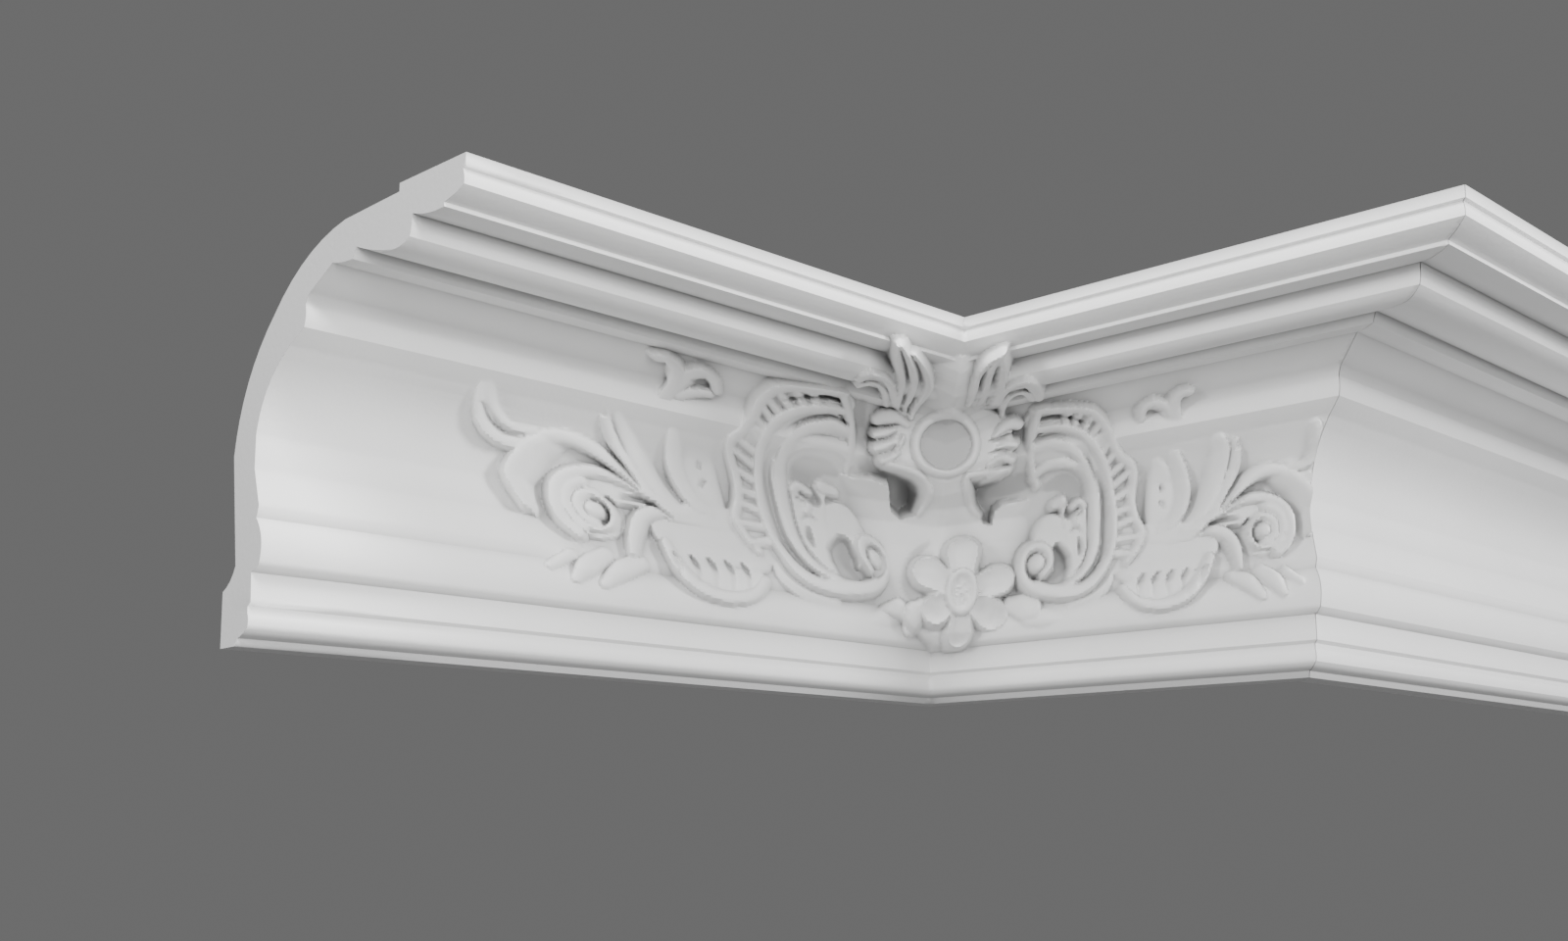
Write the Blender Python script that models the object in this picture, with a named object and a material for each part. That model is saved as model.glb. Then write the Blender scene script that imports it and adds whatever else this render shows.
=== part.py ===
"""Cornice moulding: a coved cornice with a rocaille ornament cast over its inside corner.

Frame: metres, +Z up, origin on the ceiling face at the inside corner mitre.
The left run lies along X, the return run along Y, the plain length along X again.
"""
import math

import bpy
import numpy as np

MM = 0.001
HEIGHT = 150.0
LEFT_RUN = 405.0
RETURN_RUN = 217.0
PLAIN_RUN = 320.0
CORNER = 130.75
MITRE_GAP = 0.3

GRID_STEP = 2.6
PROFILE_STEP = 3.0
ORNAMENT_LEFT = 300.0
ORNAMENT_FOOT = 14.0
ORNAMENT_HEAD = 238.0
SQUARE_ZONE = 100.0
KEPT_SHARE = 0.18

# cove guide line that carries the ornament
COVE_P = 18.0
COVE_Z = -78.0
COVE_R = 64.0
LEAN_FOOT = 5.0
LEAN_HEAD = 30.0

# front of the section from the ceiling down: name, distance from wall, height, bow
FRONT_MEMBERS = (
    ("top edge", 150.0, 0.0, 0.0),
    ("top fillet", 150.0, -4.4, 0.0),
    ("quirk", 148.5, -5.0, 0.0),
    ("fascia", 149.3, -10.4, 0.4),
    ("soffit bevel", 138.2, -13.6, 0.5),
    ("nose", 138.4, -15.2, 0.0),
    ("soffit sweep", 120.0, -12.8, 1.0),
    ("step", 119.2, -14.2, 0.0),
    ("fillet", 118.4, -20.4, 0.5),
    ("lip", 107.4, -22.4, 1.0),
    ("reverse sweep", 85.4, -15.9, 0.6),
    ("step", 83.0, -19.8, 0.0),
    ("flat", 69.7, -18.0, 0.4),
    ("bevel", 55.0, -25.4, 0.2),
    ("bead top", 52.4, -29.4, -0.4),
    ("bead face", 51.8, -37.6, 0.7),
    ("bead foot", 42.4, -42.4, 0.2),
    ("quirk", 37.0, -46.0, 0.0),
    ("cove", 20.2, -72.0, -3.0),
    ("flat", 20.1, -84.6, 0.0),
    ("sweep", 24.3, -98.7, 0.0),
    ("quirk", 22.8, -103.4, 0.3),
    ("torus", 26.1, -120.9, 2.7),
    ("torus foot", 20.8, -123.4, 0.4),
    ("fascia", 21.3, -134.5, 0.0),
    ("groove", 19.2, -135.8, 0.0),
    ("groove foot", 19.2, -138.2, 0.0),
    ("bead", 19.5, -143.6, 0.6),
    ("under bevel", 12.7, -147.0, 0.4),
    ("toe", 12.0, -149.8, 0.0),
    ("wall edge", 0.0, -150.0, 0.0),
)

# scooped back of the section from the wall edge up to the ceiling face
BACK_MEMBERS = (
    ("wall edge", 0.0, -150.0, 0.0),
    ("wall face", 0.0, -128.8, 0.0),
    ("scoop foot", 8.9, -119.8, -1.2),
    ("scoop", 4.2, -78.1, 0.0),
    ("scoop bend", 30.3, -28.4, 5.0),
    ("scoop head", 77.4, -4.0, 4.6),
    ("scoop end", 111.5, -3.0, 0.0),
    ("ceiling face", 111.5, 0.0, 0.0),
)

# lean of the ornament's middle: distance from wall at each height on the guide line
FACE_S = (
    10, 15, 21, 34, 48, 63, 78, 90, 100, 109, 118, 127, 147, 163, 172, 185, 198, 210, 220, 232,
)
FACE_P = (
    14, 18, 24, 38, 45, 50, 52, 55, 62, 73, 80, 84.5, 88, 93, 99, 112, 125, 133, 138, 142,
)

# ground the wings stand on
LIFT_S = (15, 30, 42, 58, 95, 112, 125, 160, 200)
LIFT_H = (5, 7, 6, 3, 3, 6.5, 7, 5, 5)
# ground the crown's leaves stand on, clear of the soffit's members
CROWN_LIFT_S = (150, 170, 190, 215, 235)
CROWN_LIFT_H = (6, 9, 11, 9, 6)

# wing strokes for the right wing: distance from mitre, height on guide, half width, rise
LIP = (
    (58, 151, 2.2, 10), (66, 149.5, 2.4, 10), (77, 147, 2.4, 10), (88, 143, 2.2, 10),
    (95, 137, 2.0, 10), (101, 129, 2.0, 10), (106, 120, 2.0, 10), (112, 112, 2.0, 10),
    (119, 106, 2.0, 10), (121.5, 99, 2.0, 10), (121.5, 88, 2.0, 10), (124, 80, 1.8, 9.5),
    (127.5, 73, 1.8, 9.5), (125, 66, 1.8, 9), (119, 59.5, 1.5, 8.5),
)
RIDGE = (
    (60, 137, 2.2, 9.5), (71, 136.5, 2.2, 9.5), (84, 131, 2.0, 10), (95, 121, 2.0, 10),
    (103, 110, 1.9, 10), (108.5, 98, 1.8, 10), (111.5, 86, 1.7, 10), (112, 75, 1.7, 10),
    (110, 65, 1.8, 10), (104.5, 57, 2.2, 10.3), (97, 51.3, 2.8, 10.6), (87, 48.6, 3.2, 11),
    (76, 49.3, 3.1, 11.5), (66, 52.5, 3.0, 12),
)
VOLUTE = (
    (87, 49, 3.2, 11), (76, 49.6, 3.2, 11.5), (66, 51.5, 3.0, 12), (59, 56, 2.6, 12.5),
    (56.5, 63.5, 2.3, 13), (59.5, 70.5, 2.1, 13.2), (66.5, 73, 2.0, 13.2), (72.8, 70, 1.9, 13),
    (74.3, 63.5, 1.7, 12.5), (70.5, 58.8, 1.5, 12),
)
VOLUTE_EYE = ((65.6, 64, 3.8, 14), (66.8, 64.6, 3.8, 14))
SCROLL_FIELDS = (
    ((70, 126, 9, 7), (84, 120, 9, 7), (95, 107, 9, 7), (101, 90, 8, 7.5), (101, 74, 8, 8),
     (94, 62, 8, 8.5)),
    ((92, 82, 14, 7.5), (86, 68, 12, 8), (76, 78, 10, 7)),
)
SCROLL_ROLLS = (
    ((60, 124.5, 3.4, 9.5), (70, 126, 4.0, 9.8), (80, 122, 4.0, 9.8), (89, 114, 3.8, 9.5),
     (96, 105, 3.2, 9), (99.5, 96, 2.8, 8.8), (101, 87, 2.6, 8.8), (101.5, 78, 2.6, 9),
     (100.5, 69, 2.6, 9.2), (96.5, 60.5, 2.6, 9.5), (90.5, 54.5, 2.4, 9.8), (83, 50.5, 2.2, 10)),
    ((62, 109, 2.2, 8.5), (69, 113.5, 2.8, 9.2), (78, 114, 2.8, 9.2), (87, 109.5, 2.6, 8.8),
     (92.5, 102, 2.0, 8.2)),
)
HOOK_EDGE = (
    (58.5, 149, 2.2, 10), (58, 137, 2.2, 10), (58.5, 124, 2.2, 9.8), (61, 113, 2.0, 9),
    (66, 104, 1.8, 8),
)
SCROLL_GROOVES = (
    ((60, 130.3, 1.5, 3.5), (70, 131.6, 1.7, 5), (80, 128, 1.6, 5), (88, 121.5, 1.4, 4),
     (95, 112, 1.2, 3), (100, 103, 1.2, 2)),
    ((62, 143.5, 1.5, 4), (70, 143, 1.8, 5), (80, 140, 1.7, 4.5), (90, 134, 1.2, 2.5)),
    ((63, 117, 1.3, 3), (71, 119.6, 1.6, 4.5), (80, 118.6, 1.4, 4), (88, 113, 1.0, 2)),
    ((100, 106, 1.2, 1.5), (105, 97, 2.0, 3.5), (106.8, 88, 2.5, 5), (107, 77, 2.7, 5.5),
     (105.5, 67, 2.5, 5.5), (100.5, 58.5, 2.1, 5), (93.5, 53.4, 1.6, 4), (87, 51.5, 1.0, 1.5)),
    ((95.5, 98, 0.9, 1.5), (97.2, 88, 1.1, 2.8), (97.8, 77, 1.1, 3), (97, 68, 1.1, 3),
     (93.5, 60.5, 1.1, 2.8), (88, 55.5, 0.9, 1.5)),
    ((92.5, 73.5, 1.2, 3), (93, 70, 1.9, 5), (92.4, 66.5, 1.3, 3)),
    ((88, 78, 0.9, 1.5), (91, 80, 1.1, 2.5), (94, 77.5, 0.9, 1.5)),
    ((91, 85.5, 0.9, 2), (94, 87, 1.0, 2.8)),
)
SCROLL_HOLLOWS = (
    ((73, 104, 4.0, 7), (81, 105, 6.5, 12), (88, 100.5, 7.0, 13), (90.5, 93.5, 5.5, 11),
     (86.5, 87.5, 3.4, 7)),
    ((80, 70.5, 3.2, 9), (82.2, 65, 5.4, 15), (81.5, 58.8, 4.8, 15), (77, 55.5, 2.4, 10)),
)
SCROLL_BITS = (
    ((77, 93, 2.2, 8.6), (81.5, 94, 2.8, 9.8)),
    ((88.5, 90.5, 1.5, 8.8), (92, 92.5, 1.6, 9.4), (95, 90, 1.4, 8.8)),
    ((89.5, 84, 1.5, 9), (91, 81.5, 1.4, 9)),
)
SPRAY_FIELDS = (
    ((124, 60, 8, 5), (138, 60, 9, 5), (152, 60, 9, 5), (164, 62, 5, 5)),
    ((128, 71, 5, 5), (140, 71, 5, 5.5), (152, 70.5, 4, 6.5), (159, 70, 3, 7)),
    ((138, 76, 6, 4.5), (139, 88, 7, 5), (137, 98, 6, 4.5), (134, 105, 3, 4)),
    ((172, 76, 5, 5), (184, 74, 5, 5), (192, 68, 9, 5)),
    ((121, 47, 4, 5), (131, 45, 6, 5), (142, 44.5, 6.5, 5), (153, 47.5, 5, 5)),
)
SPRAY_LEAVES = (
    ("blade", ((143.5, 108, 1.6, 6.5), (148.5, 98.5, 2.0, 8), (151, 89.5, 2.2, 8.5),
               (149.5, 81, 2.2, 8), (144.5, 75, 2.0, 7), (138, 73, 1.6, 6))),
    ("blade", ((160, 117, 1.6, 4.5), (165, 112, 2.0, 7), (168.5, 106, 2.2, 7.5),
               (169, 97, 2.4, 7.5), (166.5, 87, 2.2, 7),
               (161.5, 78.5, 2.0, 6.5), (154, 72, 1.6, 6))),
    ("round", ((147, 118, 2.6, 6), (141.5, 124.5, 2.8, 7), (137, 131.5, 3.0, 8),
               (135.5, 138, 3.0, 8.5), (138, 142, 2.8, 8.5), (142.5, 141, 2.0, 7.5))),
    ("round", ((141, 124, 2.4, 6.5), (135, 130.5, 2.4, 7.5), (129.5, 136, 2.8, 8),
               (123.5, 139, 2.8, 8.5), (119.5, 136, 2.4, 8), (120, 130, 1.8, 7))),
    ("round", ((139, 122, 1.8, 6), (131, 126, 2.0, 6.5), (124, 127.5, 1.8, 6.5))),
    ("roof", ((164, 76, 2.0, 6.5), (170, 83.5, 2.4, 8), (174, 91, 2.6, 8.5),
              (175.5, 99, 2.4, 8.5), (174, 109, 1.2, 8))),
    ("round", ((161, 73.5, 1.8, 6.5), (170, 79.5, 2.4, 8), (177.5, 85.5, 2.8, 9),
               (185, 91, 3.0, 9), (192, 93, 3.0, 8.5), (200, 92, 2.6, 7))),
    ("round", ((156, 71.5, 1.8, 7), (165, 75.5, 2.0, 8.5), (175, 79.5, 2.2, 9),
               (184, 81.5, 2.2, 9), (193, 80, 2.2, 9), (200.5, 75, 2.4, 9),
               (203.5, 67.5, 2.4, 9), (202.5, 60.5, 2.2, 8.5), (197, 55.5, 1.8, 8))),
    ("round", ((150, 70.5, 1.8, 7), (158, 70.5, 2.0, 8), (166, 69, 2.4, 8.8),
               (173, 65.5, 2.6, 9), (177, 58.5, 2.4, 9), (178, 51, 1.4, 8))),
    ("blade", ((211, 111.5, 1.4, 7), (215.5, 105, 1.8, 8.5), (219, 98, 2.2, 9.5),
               (220.5, 92, 2.4, 9.5), (218, 88, 2.4, 9), (212, 87.2, 2.4, 8),
               (204, 90, 2.2, 6.5))),
    ("round", ((212, 109, 1.6, 8), (214.5, 100, 1.8, 9), (213.3, 94.8, 1.8, 9),
               (209.5, 92.6, 1.6, 8), (203, 93, 1.4, 6.5))),
    ("blade", ((198, 92, 1.8, 6.5), (206, 87.5, 1.8, 8), (213, 80.5, 1.9, 9),
               (217, 74.5, 1.8, 9), (216.5, 69.5, 1.6, 8.5), (214.5, 63.5, 1.1, 7.5))),
    ("round", ((117, 47, 2.0, 6.5), (121, 42, 2.2, 8), (128, 38.5, 2.4, 9),
               (138, 37.5, 2.4, 9.6), (147, 39.5, 2.4, 10), (154, 44, 2.4, 10),
               (159.5, 50, 2.4, 9.6), (163.5, 57, 2.0, 8.8))),
    ("round", ((175, 47, 2.5, 5), (182, 43.5, 4.2, 6.5), (189, 37, 2.4, 5))),
    ("round", ((189, 48.5, 3.0, 5), (195, 43, 4.0, 6.5), (199, 37.5, 2.2, 5))),
    ("round", ((201, 47, 2, 4.5), (208, 41.5, 1.8, 4))),
    ("roof", ((86, 42, 3, 3.5), (97, 45, 4, 4), (107, 50, 3.4, 5), (111, 56, 2.4, 5))),
    ("round", ((117, 54, 3.2, 5), (123, 53, 3.4, 5.6), (128, 53.5, 2.4, 5))),
)
SPRAY_GROOVES = (
    ((138.5, 93.5, 1.2, 3), (139, 92, 1.2, 3)),
    ((138.5, 86, 1.2, 2.4), (140.5, 84, 1.2, 2.4)),
    ((130.5, 132, 1.2, 3), (126.5, 133, 1.8, 5.5), (123.5, 131.8, 1.2, 3)),
    ((145.5, 134.5, 1.6, 4), (143.5, 130, 2.4, 6.5), (146, 125.5, 1.8, 4)),
    ((176.5, 112, 2.0, 4), (175, 106, 1.6, 3)),
    ((217.8, 99.5, 0.9, 2.5), (218, 93.5, 1.3, 4), (214, 90, 1.3, 4), (208, 90.4, 0.9, 2)),
    ((171, 77, 1.0, 2.5), (178, 81.8, 1.4, 5), (186, 86.2, 1.9, 5.5), (194, 86.8, 1.6, 4),
     (200, 82, 1.2, 2.5)),
)
LEAF_SLITS = (
    ((169.5, 78.5, 0.9, 2.5), (173.7, 84.5, 1.3, 5), (178, 91, 1.5, 5.5), (181, 98, 0.9, 2)),
    ((158, 67.5, 0.8, 2), (165, 72, 1.2, 5), (172, 73.5, 1.4, 5.5), (179, 73, 1.2, 3)),
)
BLADE_REACH = 4.0
WALL_SLOPE = 4.4
WALL_EASE = 2.0
RIB_COUNT = 16
RIB_START = 0.14
RIDGE_SHARE = 0.68
SHELL_FLUTES = 5
ROSETTE = (190.0, 65.5)
# rosette arcs: radius at the start and end, first and last angle, half width, height
ROSETTE_PETALS = (
    (5.2, 11.5, 100, 450, 1.7, 8.8), (5.2, 7.0, -80, 110, 1.6, 9.2),
)
ROSETTE_GAPS = ((8.2, 9.4, 130, 290, 1.2, 4.5), (4.4, 4.4, 90, 250, 1.3, 5.0))

# the left wing is the same drawing, stretched and leaned to the left
LEFT_FROM = (-24.0, 33.0, 54.7, 87.3, 116.0, 134.6, 162.4, 194.4, 255.8, 319.0)
LEFT_TO = (0.0, 55.0, 75.0, 95.0, 115.0, 130.0, 150.0, 175.0, 215.0, 260.0)
VOLUTE_NUDGE = (7.0, 50.0, 63.0)
LEFT_LEAN_S = (35, 60, 80, 105, 130, 150)
LEFT_LEAN_A = (0, 3.3, 11.2, 21.3, 28.1, 33.6)

# middle of the ornament, on the leaning face: signed distance from mitre, height on guide
PLATE = (
    (-13, 95), (-9.5, 103), (-8, 109), (-11, 116), (-18, 120.5), (-36, 121), (-41, 120),
    (-46, 126), (-46, 136), (-44, 147), (-37, 156), (-32, 160), (-28, 166), (-24, 176),
    (-24, 204), (-16, 222), (-8, 232), (6, 232), (10, 222), (12, 205), (13, 185), (20, 166),
    (33, 156), (43, 149), (45, 140), (46, 128), (42, 114), (34, 115.5), (20, 116),
    (14.5, 120), (15, 113), (18, 105), (23, 98), (30, 91), (33, 88), (20, 88), (-10, 90),
)
BELLY_TOP_A = (-130, -62, -48, -36, -33, -26, -18, -11, 16, 22, 30, 38, 40, 44, 68, 110)
BELLY_TOP_S = (118, 109, 110, 108, 95, 91, 94, 97, 97, 93, 89, 87, 94, 97, 98, 108)
BELLY_FOOT_A = (-130, -60, -26, -8, 6, 30, 52, 70, 110)
BELLY_FOOT_S = (50, 48, 42, 33, 29, 30, 40, 46, 50)
FAN_LEAVES = (
    ((-27, 151, 2.6, 2), (-34, 153.5, 4.2, 4), (-41, 151.0, 4.6, 4.6), (-47, 147, 3.4, 4.6)),
    ((-34, 145, 1.6, 2.0), (-41, 140.5, 2.0, 3.6), (-47.5, 137.5, 1.8, 4.8)),
    ((-33, 138, 1.6, 2.0), (-41, 132.5, 2.2, 3.6), (-47.5, 129, 2.0, 4.8)),
    ((-31, 131, 1.6, 2.0), (-37, 125.5, 2.0, 3.4), (-43, 122.3, 1.8, 4.4)),
    ((-28.5, 142, 1.1, 3.8), (-30, 137.5, 1.2, 3.8), (-33, 131, 1.0, 3.2)),
    ((33, 141, 1.5, 3), (38, 144.8, 3.4, 4.6), (44, 146.0, 3.8, 4.8), (49, 143.0, 2.8, 4.6)),
    ((36, 133, 1.6, 2.0), (42, 133.5, 2.2, 3.6), (47, 131.5, 1.8, 4.8)),
    ((29.5, 122.5, 1.6, 2.0), (37.5, 126, 2.2, 3.6), (45, 122.5, 2.0, 4.8)),
    ((30, 115.5, 1.8, 2.4), (37, 116.2, 2.0, 3.4), (43.5, 117, 1.8, 4.4)),
)
FAN_SLITS = (
    ((-31, 148.8, 1.0, 1.0), (-39, 144.6, 1.3, 2.6), (-48, 142, 1.0, 2.2)),
    ((-33, 142, 1.0, 1.0), (-40, 136.6, 1.3, 2.4), (-49, 133, 1.0, 2.2)),
    ((-31, 134.8, 1.0, 1.0), (-38, 129, 1.3, 2.4), (-46, 125.5, 1.0, 2)),
    ((29.5, 138.5, 1.0, 1.5), (36, 137.8, 1.5, 3.4), (42, 138.5, 1.3, 3), (50, 137.5, 1.0, 2)),
    ((30, 130, 1.0, 1.5), (37, 130.5, 1.4, 2.6), (46, 127, 1.1, 2.2)),
    ((31, 119, 1.0, 1.0), (38, 120.5, 1.2, 2.2), (46, 119.5, 1.0, 2)),
)
CROWN_LEAVES = (
    ((-33, 161, 1.8, 3), (-34.5, 179, 2.4, 5.5), (-36, 197, 2.6, 7), (-40.5, 213, 2.0, 7),
     (-42.5, 229, 1.2, 6)),
    ((-28, 162, 1.8, 3), (-27.5, 184, 2.6, 6), (-29, 201.5, 2.8, 7.5), (-34, 217.5, 2.4, 7.5),
     (-41, 230, 1.4, 6.5)),
    ((-24, 157, 1.6, 3), (-21.5, 172, 2.0, 5.5), (-19, 190, 2.2, 7), (-19.5, 204, 2.2, 7.5),
     (-25, 216, 2.0, 7), (-32, 225, 1.4, 6)),
    ((11.5, 179, 1.6, 3), (10.2, 197, 2.2, 5.5), (10.5, 214, 2.2, 7), (14, 226, 2.0, 7),
     (20, 231, 1.2, 6)),
    ((20, 172, 1.6, 3), (18.5, 190, 2.2, 5.5), (16.5, 206, 2.4, 7), (16.5, 219, 2.2, 7.5),
     (19, 230, 1.4, 6.5)),
    ((29.5, 166, 1.8, 3), (28.5, 179, 2.2, 6), (25.5, 199.5, 2.4, 7), (23, 215.5, 2.2, 7.5),
     (19.5, 230, 1.2, 6.5)),
)
CROWN_FIELDS = (
    ((-30, 162, 6, 1.5), (-29, 182, 9.5, 3), (-30, 201, 10.5, 4), (-35, 217, 6.5, 4),
     (-41, 228, 2, 4)),
    ((22, 172, 6, 1.5), (19.5, 190, 9, 3), (17.5, 208, 8, 4), (18.5, 222, 4, 4)),
)
CROWN_SLITS = (
    ((-30.5, 160, 1.2, 2), (-31, 179.5, 1.6, 5), (-32.3, 199, 1.6, 5), (-36.5, 215, 1.2, 3.5),
     (-41, 226, 0.8, 1.5)),
    ((-25.5, 160, 1.2, 2), (-23.5, 184, 1.8, 5.5), (-24, 203, 1.7, 5), (-30, 219, 1.1, 2.5)),
    ((15, 182, 1.2, 1.5), (14, 200, 1.4, 4), (13.3, 216, 1.2, 3)),
    ((24.5, 172, 1.2, 2), (23, 190, 1.5, 4), (21, 206, 1.4, 4), (20, 220, 1.0, 2)),
)
CROWN_CURLS = (
    ((-35, 162, 2.0, 3), (-38.5, 176, 2.4, 6), (-42.5, 188, 2.8, 8), (-49, 195, 2.8, 9),
     (-57, 194, 2.6, 9), (-63, 184, 2.0, 8)),
    ((-41, 160, 1.6, 3), (-44, 175, 2.0, 6), (-50.5, 185, 2.2, 7), (-58, 182, 2.0, 7),
     (-62.5, 175.5, 1.4, 6)),
    ((33, 165, 2.0, 3), (30.5, 178, 2.4, 6), (31.5, 190, 2.6, 8), (37.5, 195, 2.8, 9),
     (45, 187.5, 2.8, 9), (52, 173, 2.4, 8), (56.5, 162, 1.8, 7)),
    ((37.5, 153.5, 1.4, 3), (36, 167, 1.8, 5), (37, 177.5, 2.0, 6.5), (41.5, 179, 2.0, 6.5),
     (47, 173.5, 1.8, 6), (53, 162, 1.4, 5)),
)
NECK_RIMS = (
    ((-39, 121.5, 2.0, 3), (-28, 121.5, 2.2, 3.6), (-18, 119.8, 2.2, 3.8),
     (-11.5, 115, 2.2, 3.8), (-9, 108, 2.2, 3.8), (-10.5, 102, 2.0, 3.4), (-14, 96, 1.8, 2.4)),
    ((36, 117, 1.8, 3), (22, 118.8, 2.0, 3.8), (15, 119, 2.0, 3.8), (15.5, 113, 2.0, 3.8),
     (18, 106, 1.8, 3.4), (22, 99, 1.6, 2.8), (28, 93, 1.4, 1.8)),
)
BUDS = (
    ("round", ((-11, 47, 4, 7), (-16, 42.5, 7, 8.5), (-18, 38, 5.5, 8))),
    ("round", ((-27, 44, 6.5, 5.5), (-37, 41, 6, 4.5), (-47, 38, 3.5, 3))),
    ("round", ((50, 46, 4, 6.5), (57, 44, 6.5, 7.5), (64, 43, 5.5, 7))),
    ("round", ((60, 38.5, 4.5, 5), (70, 38, 5, 5), (79, 37, 3, 3.5))),
)
FLOWER = (11.3, 53.5)
PETALS = (
    (27.5, 90, 7.6), (27, 150, 7.2), (21.6, 214, 6.9), (26.6, 270, 5.8), (27, 322, 7.2),
    (26, 14, 6.9),
)
FLOWER_LIFT = 10.0
FLOWER_EYE = (6.4, 9.4)
MEDALLION_Z = -35.0
MEDALLION_R = 14.3
MEDALLION_RING = 2.2
MEDALLION_P = 88.0
VIEW_SLOPE = 0.32


def guide(s):
    """Point and lean direction of the guide line at length s up from the wall foot."""
    s = np.asarray(s, float)
    turn = np.clip((s - (HEIGHT + COVE_Z)) / COVE_R, 0, math.pi / 2)
    past = np.maximum(0, s - (HEIGHT + COVE_Z) - COVE_R * math.pi / 2)
    p = COVE_P + COVE_R * (1 - np.cos(turn)) + past
    z = np.where(turn > 0, COVE_Z + COVE_R * np.sin(turn), s - HEIGHT)
    lean = np.radians(LEAN_FOOT + LEAN_HEAD * turn / (math.pi / 2))
    return p, z, np.cos(lean), -np.sin(lean)


def facing(a, s):
    """Rise of the leaning face that looks out along the mitre."""
    p, _, out, _ = guide(s)
    return (np.interp(s, FACE_S, FACE_P) - np.abs(a) / 2 - p) / out


def smooth_line(points, step):
    """Smooth curve through points, all columns carried along."""
    pts = np.asarray(points, float)
    ends = np.vstack([2 * pts[0] - pts[1], pts, 2 * pts[-1] - pts[-2]])
    rows = []
    for i in range(1, len(ends) - 2):
        p0, p1, p2, p3 = ends[i - 1:i + 3]
        count = max(2, int(np.hypot(*(p2 - p1)[:2]) / step))
        for k in range(count):
            t = k / count
            rows.append(0.5 * (2 * p1 + (p2 - p0) * t + (2 * p0 - 5 * p1 + 4 * p2 - p3) * t * t
                               + (3 * p1 - p0 - 3 * p2 + p3) * t ** 3))
    rows.append(pts[-1])
    return np.array(rows)


def nearest(x, y, line):
    """Distance, side, place along the line and outward share of the way to it."""
    best = np.full(x.shape, 1e9)
    place = np.zeros(x.shape)
    side = np.zeros(x.shape)
    away = np.zeros(x.shape)
    for i in range(len(line) - 1):
        x0, y0 = line[i, :2]
        dx, dy = line[i + 1, :2] - line[i, :2]
        t = np.clip(((x - x0) * dx + (y - y0) * dy) / (dx * dx + dy * dy + 1e-9), 0, 1)
        ex = x - x0 - t * dx
        ey = y - y0 - t * dy
        square = ex * ex + ey * ey
        closer = square < best
        best = np.where(closer, square, best)
        place = np.where(closer, i + t, place)
        side = np.where(closer, dx * ey - dy * ex, side)
        away = np.where(closer, ex, away)
    reach = np.sqrt(best)
    return reach, np.sign(side), place, away / (reach + 1e-6)


def along(line, place, column):
    """Value of one column at a place along the line."""
    i = np.clip(place.astype(int), 0, len(line) - 2)
    f = place - i
    return line[i, column] * (1 - f) + line[i + 1, column] * f


def stroke(x, y, points, section):
    """Rise of one carved stroke, falling away steeply beyond its edge."""
    line = smooth_line(points, 2.5)
    reach, side, place, away = nearest(x, y, line)
    width = np.maximum(along(line, place, 2), 0.3)
    rise = along(line, place, 3)
    r = np.clip(reach / width, 0, 1)
    if section == "round":
        drop = 0.75 * np.minimum(width, 4) * (1 - np.sqrt(1 - r * r))
    elif section == "roof":
        drop = 0.6 * np.minimum(width, 5) * r
    elif section == "cup":
        drop = 0.52 * np.minimum(width, 5) * (1 - r ** 2.5)
    else:
        drop = 0.25 * np.minimum(width, 3) * r ** 4
    wall = (WALL_SLOPE - WALL_EASE * np.clip(away, 0, 1)) * np.maximum(0, reach - width)
    if section == "blade":
        gentle = rise * (reach / (BLADE_REACH * width)) ** 1.5
        return rise - np.where(side < 0, gentle, drop + wall)
    return rise - drop - wall


def groove(x, y, points):
    """Depth of one cut stroke."""
    line = smooth_line(points, 2.5)
    reach, _, place, _ = nearest(x, y, line)
    width = np.maximum(along(line, place, 2), 0.3)
    r = np.clip(reach / width, 0, 1)
    return along(line, place, 3) * (1 - r * r) ** 1.2


def inside_depth(x, y, outline):
    """Signed distance to an outline, positive inside."""
    loop = np.asarray(outline + outline[:1], float)
    reach, _, _, _ = nearest(x, y, loop)
    inside = np.zeros(x.shape, bool)
    for (x0, y0), (x1, y1) in zip(loop[:-1], loop[1:]):
        crossed = ((y0 > y) != (y1 > y)) & (x < (x1 - x0) * (y - y0) / (y1 - y0 + 1e-12) + x0)
        inside ^= crossed
    return np.where(inside, reach, -reach)


def window(x, y, points, margin):
    """Grid cells near a stroke."""
    pts = np.asarray(points, float)
    low = pts[:, :2].min(axis=0) - pts[:, 2].max() - margin
    high = pts[:, :2].max(axis=0) + pts[:, 2].max() + margin
    return (x > low[0]) & (x < high[0]) & (y > low[1]) & (y < high[1])


def raise_stroke(rise, x, y, ground, points, section):
    """Add a stroke to the relief."""
    near = window(x, y, points, 12.0)
    if near.any():
        rise[near] = np.maximum(rise[near], ground[near] + stroke(x[near], y[near], points, section))


def cut_stroke(rise, x, y, points):
    """Cut a groove into the relief."""
    near = window(x, y, points, 4.0)
    if near.any():
        rise[near] -= groove(x[near], y[near], points)


def wing_place(a, s):
    """Place on the right wing's drawing for a place on either wing."""
    left = a < 0
    height = np.where(left, (s + 0.5) / 1.08, s)
    lean = np.interp(height, LEFT_LEAN_S, LEFT_LEAN_A)
    reach = ((-a - VOLUTE_NUDGE[1]) / 24.0) ** 2 + ((height - VOLUTE_NUDGE[2]) / 15.0) ** 2
    nudge = VOLUTE_NUDGE[0] * np.exp(-reach)
    out = np.interp(-a - lean + nudge, LEFT_FROM, LEFT_TO)
    return np.where(left, out, a), height


def comb_line(k, count):
    """Ends of one rib between the scroll's ridge and its lip."""
    lip = smooth_line(LIP, 2.0)
    ridge = smooth_line(RIDGE, 2.0)
    u = k / count
    outer = lip[int(u * (len(lip) - 1))]
    inner = ridge[int((0.02 + u * RIDGE_SHARE) * (len(ridge) - 1))]
    return inner, outer


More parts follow.
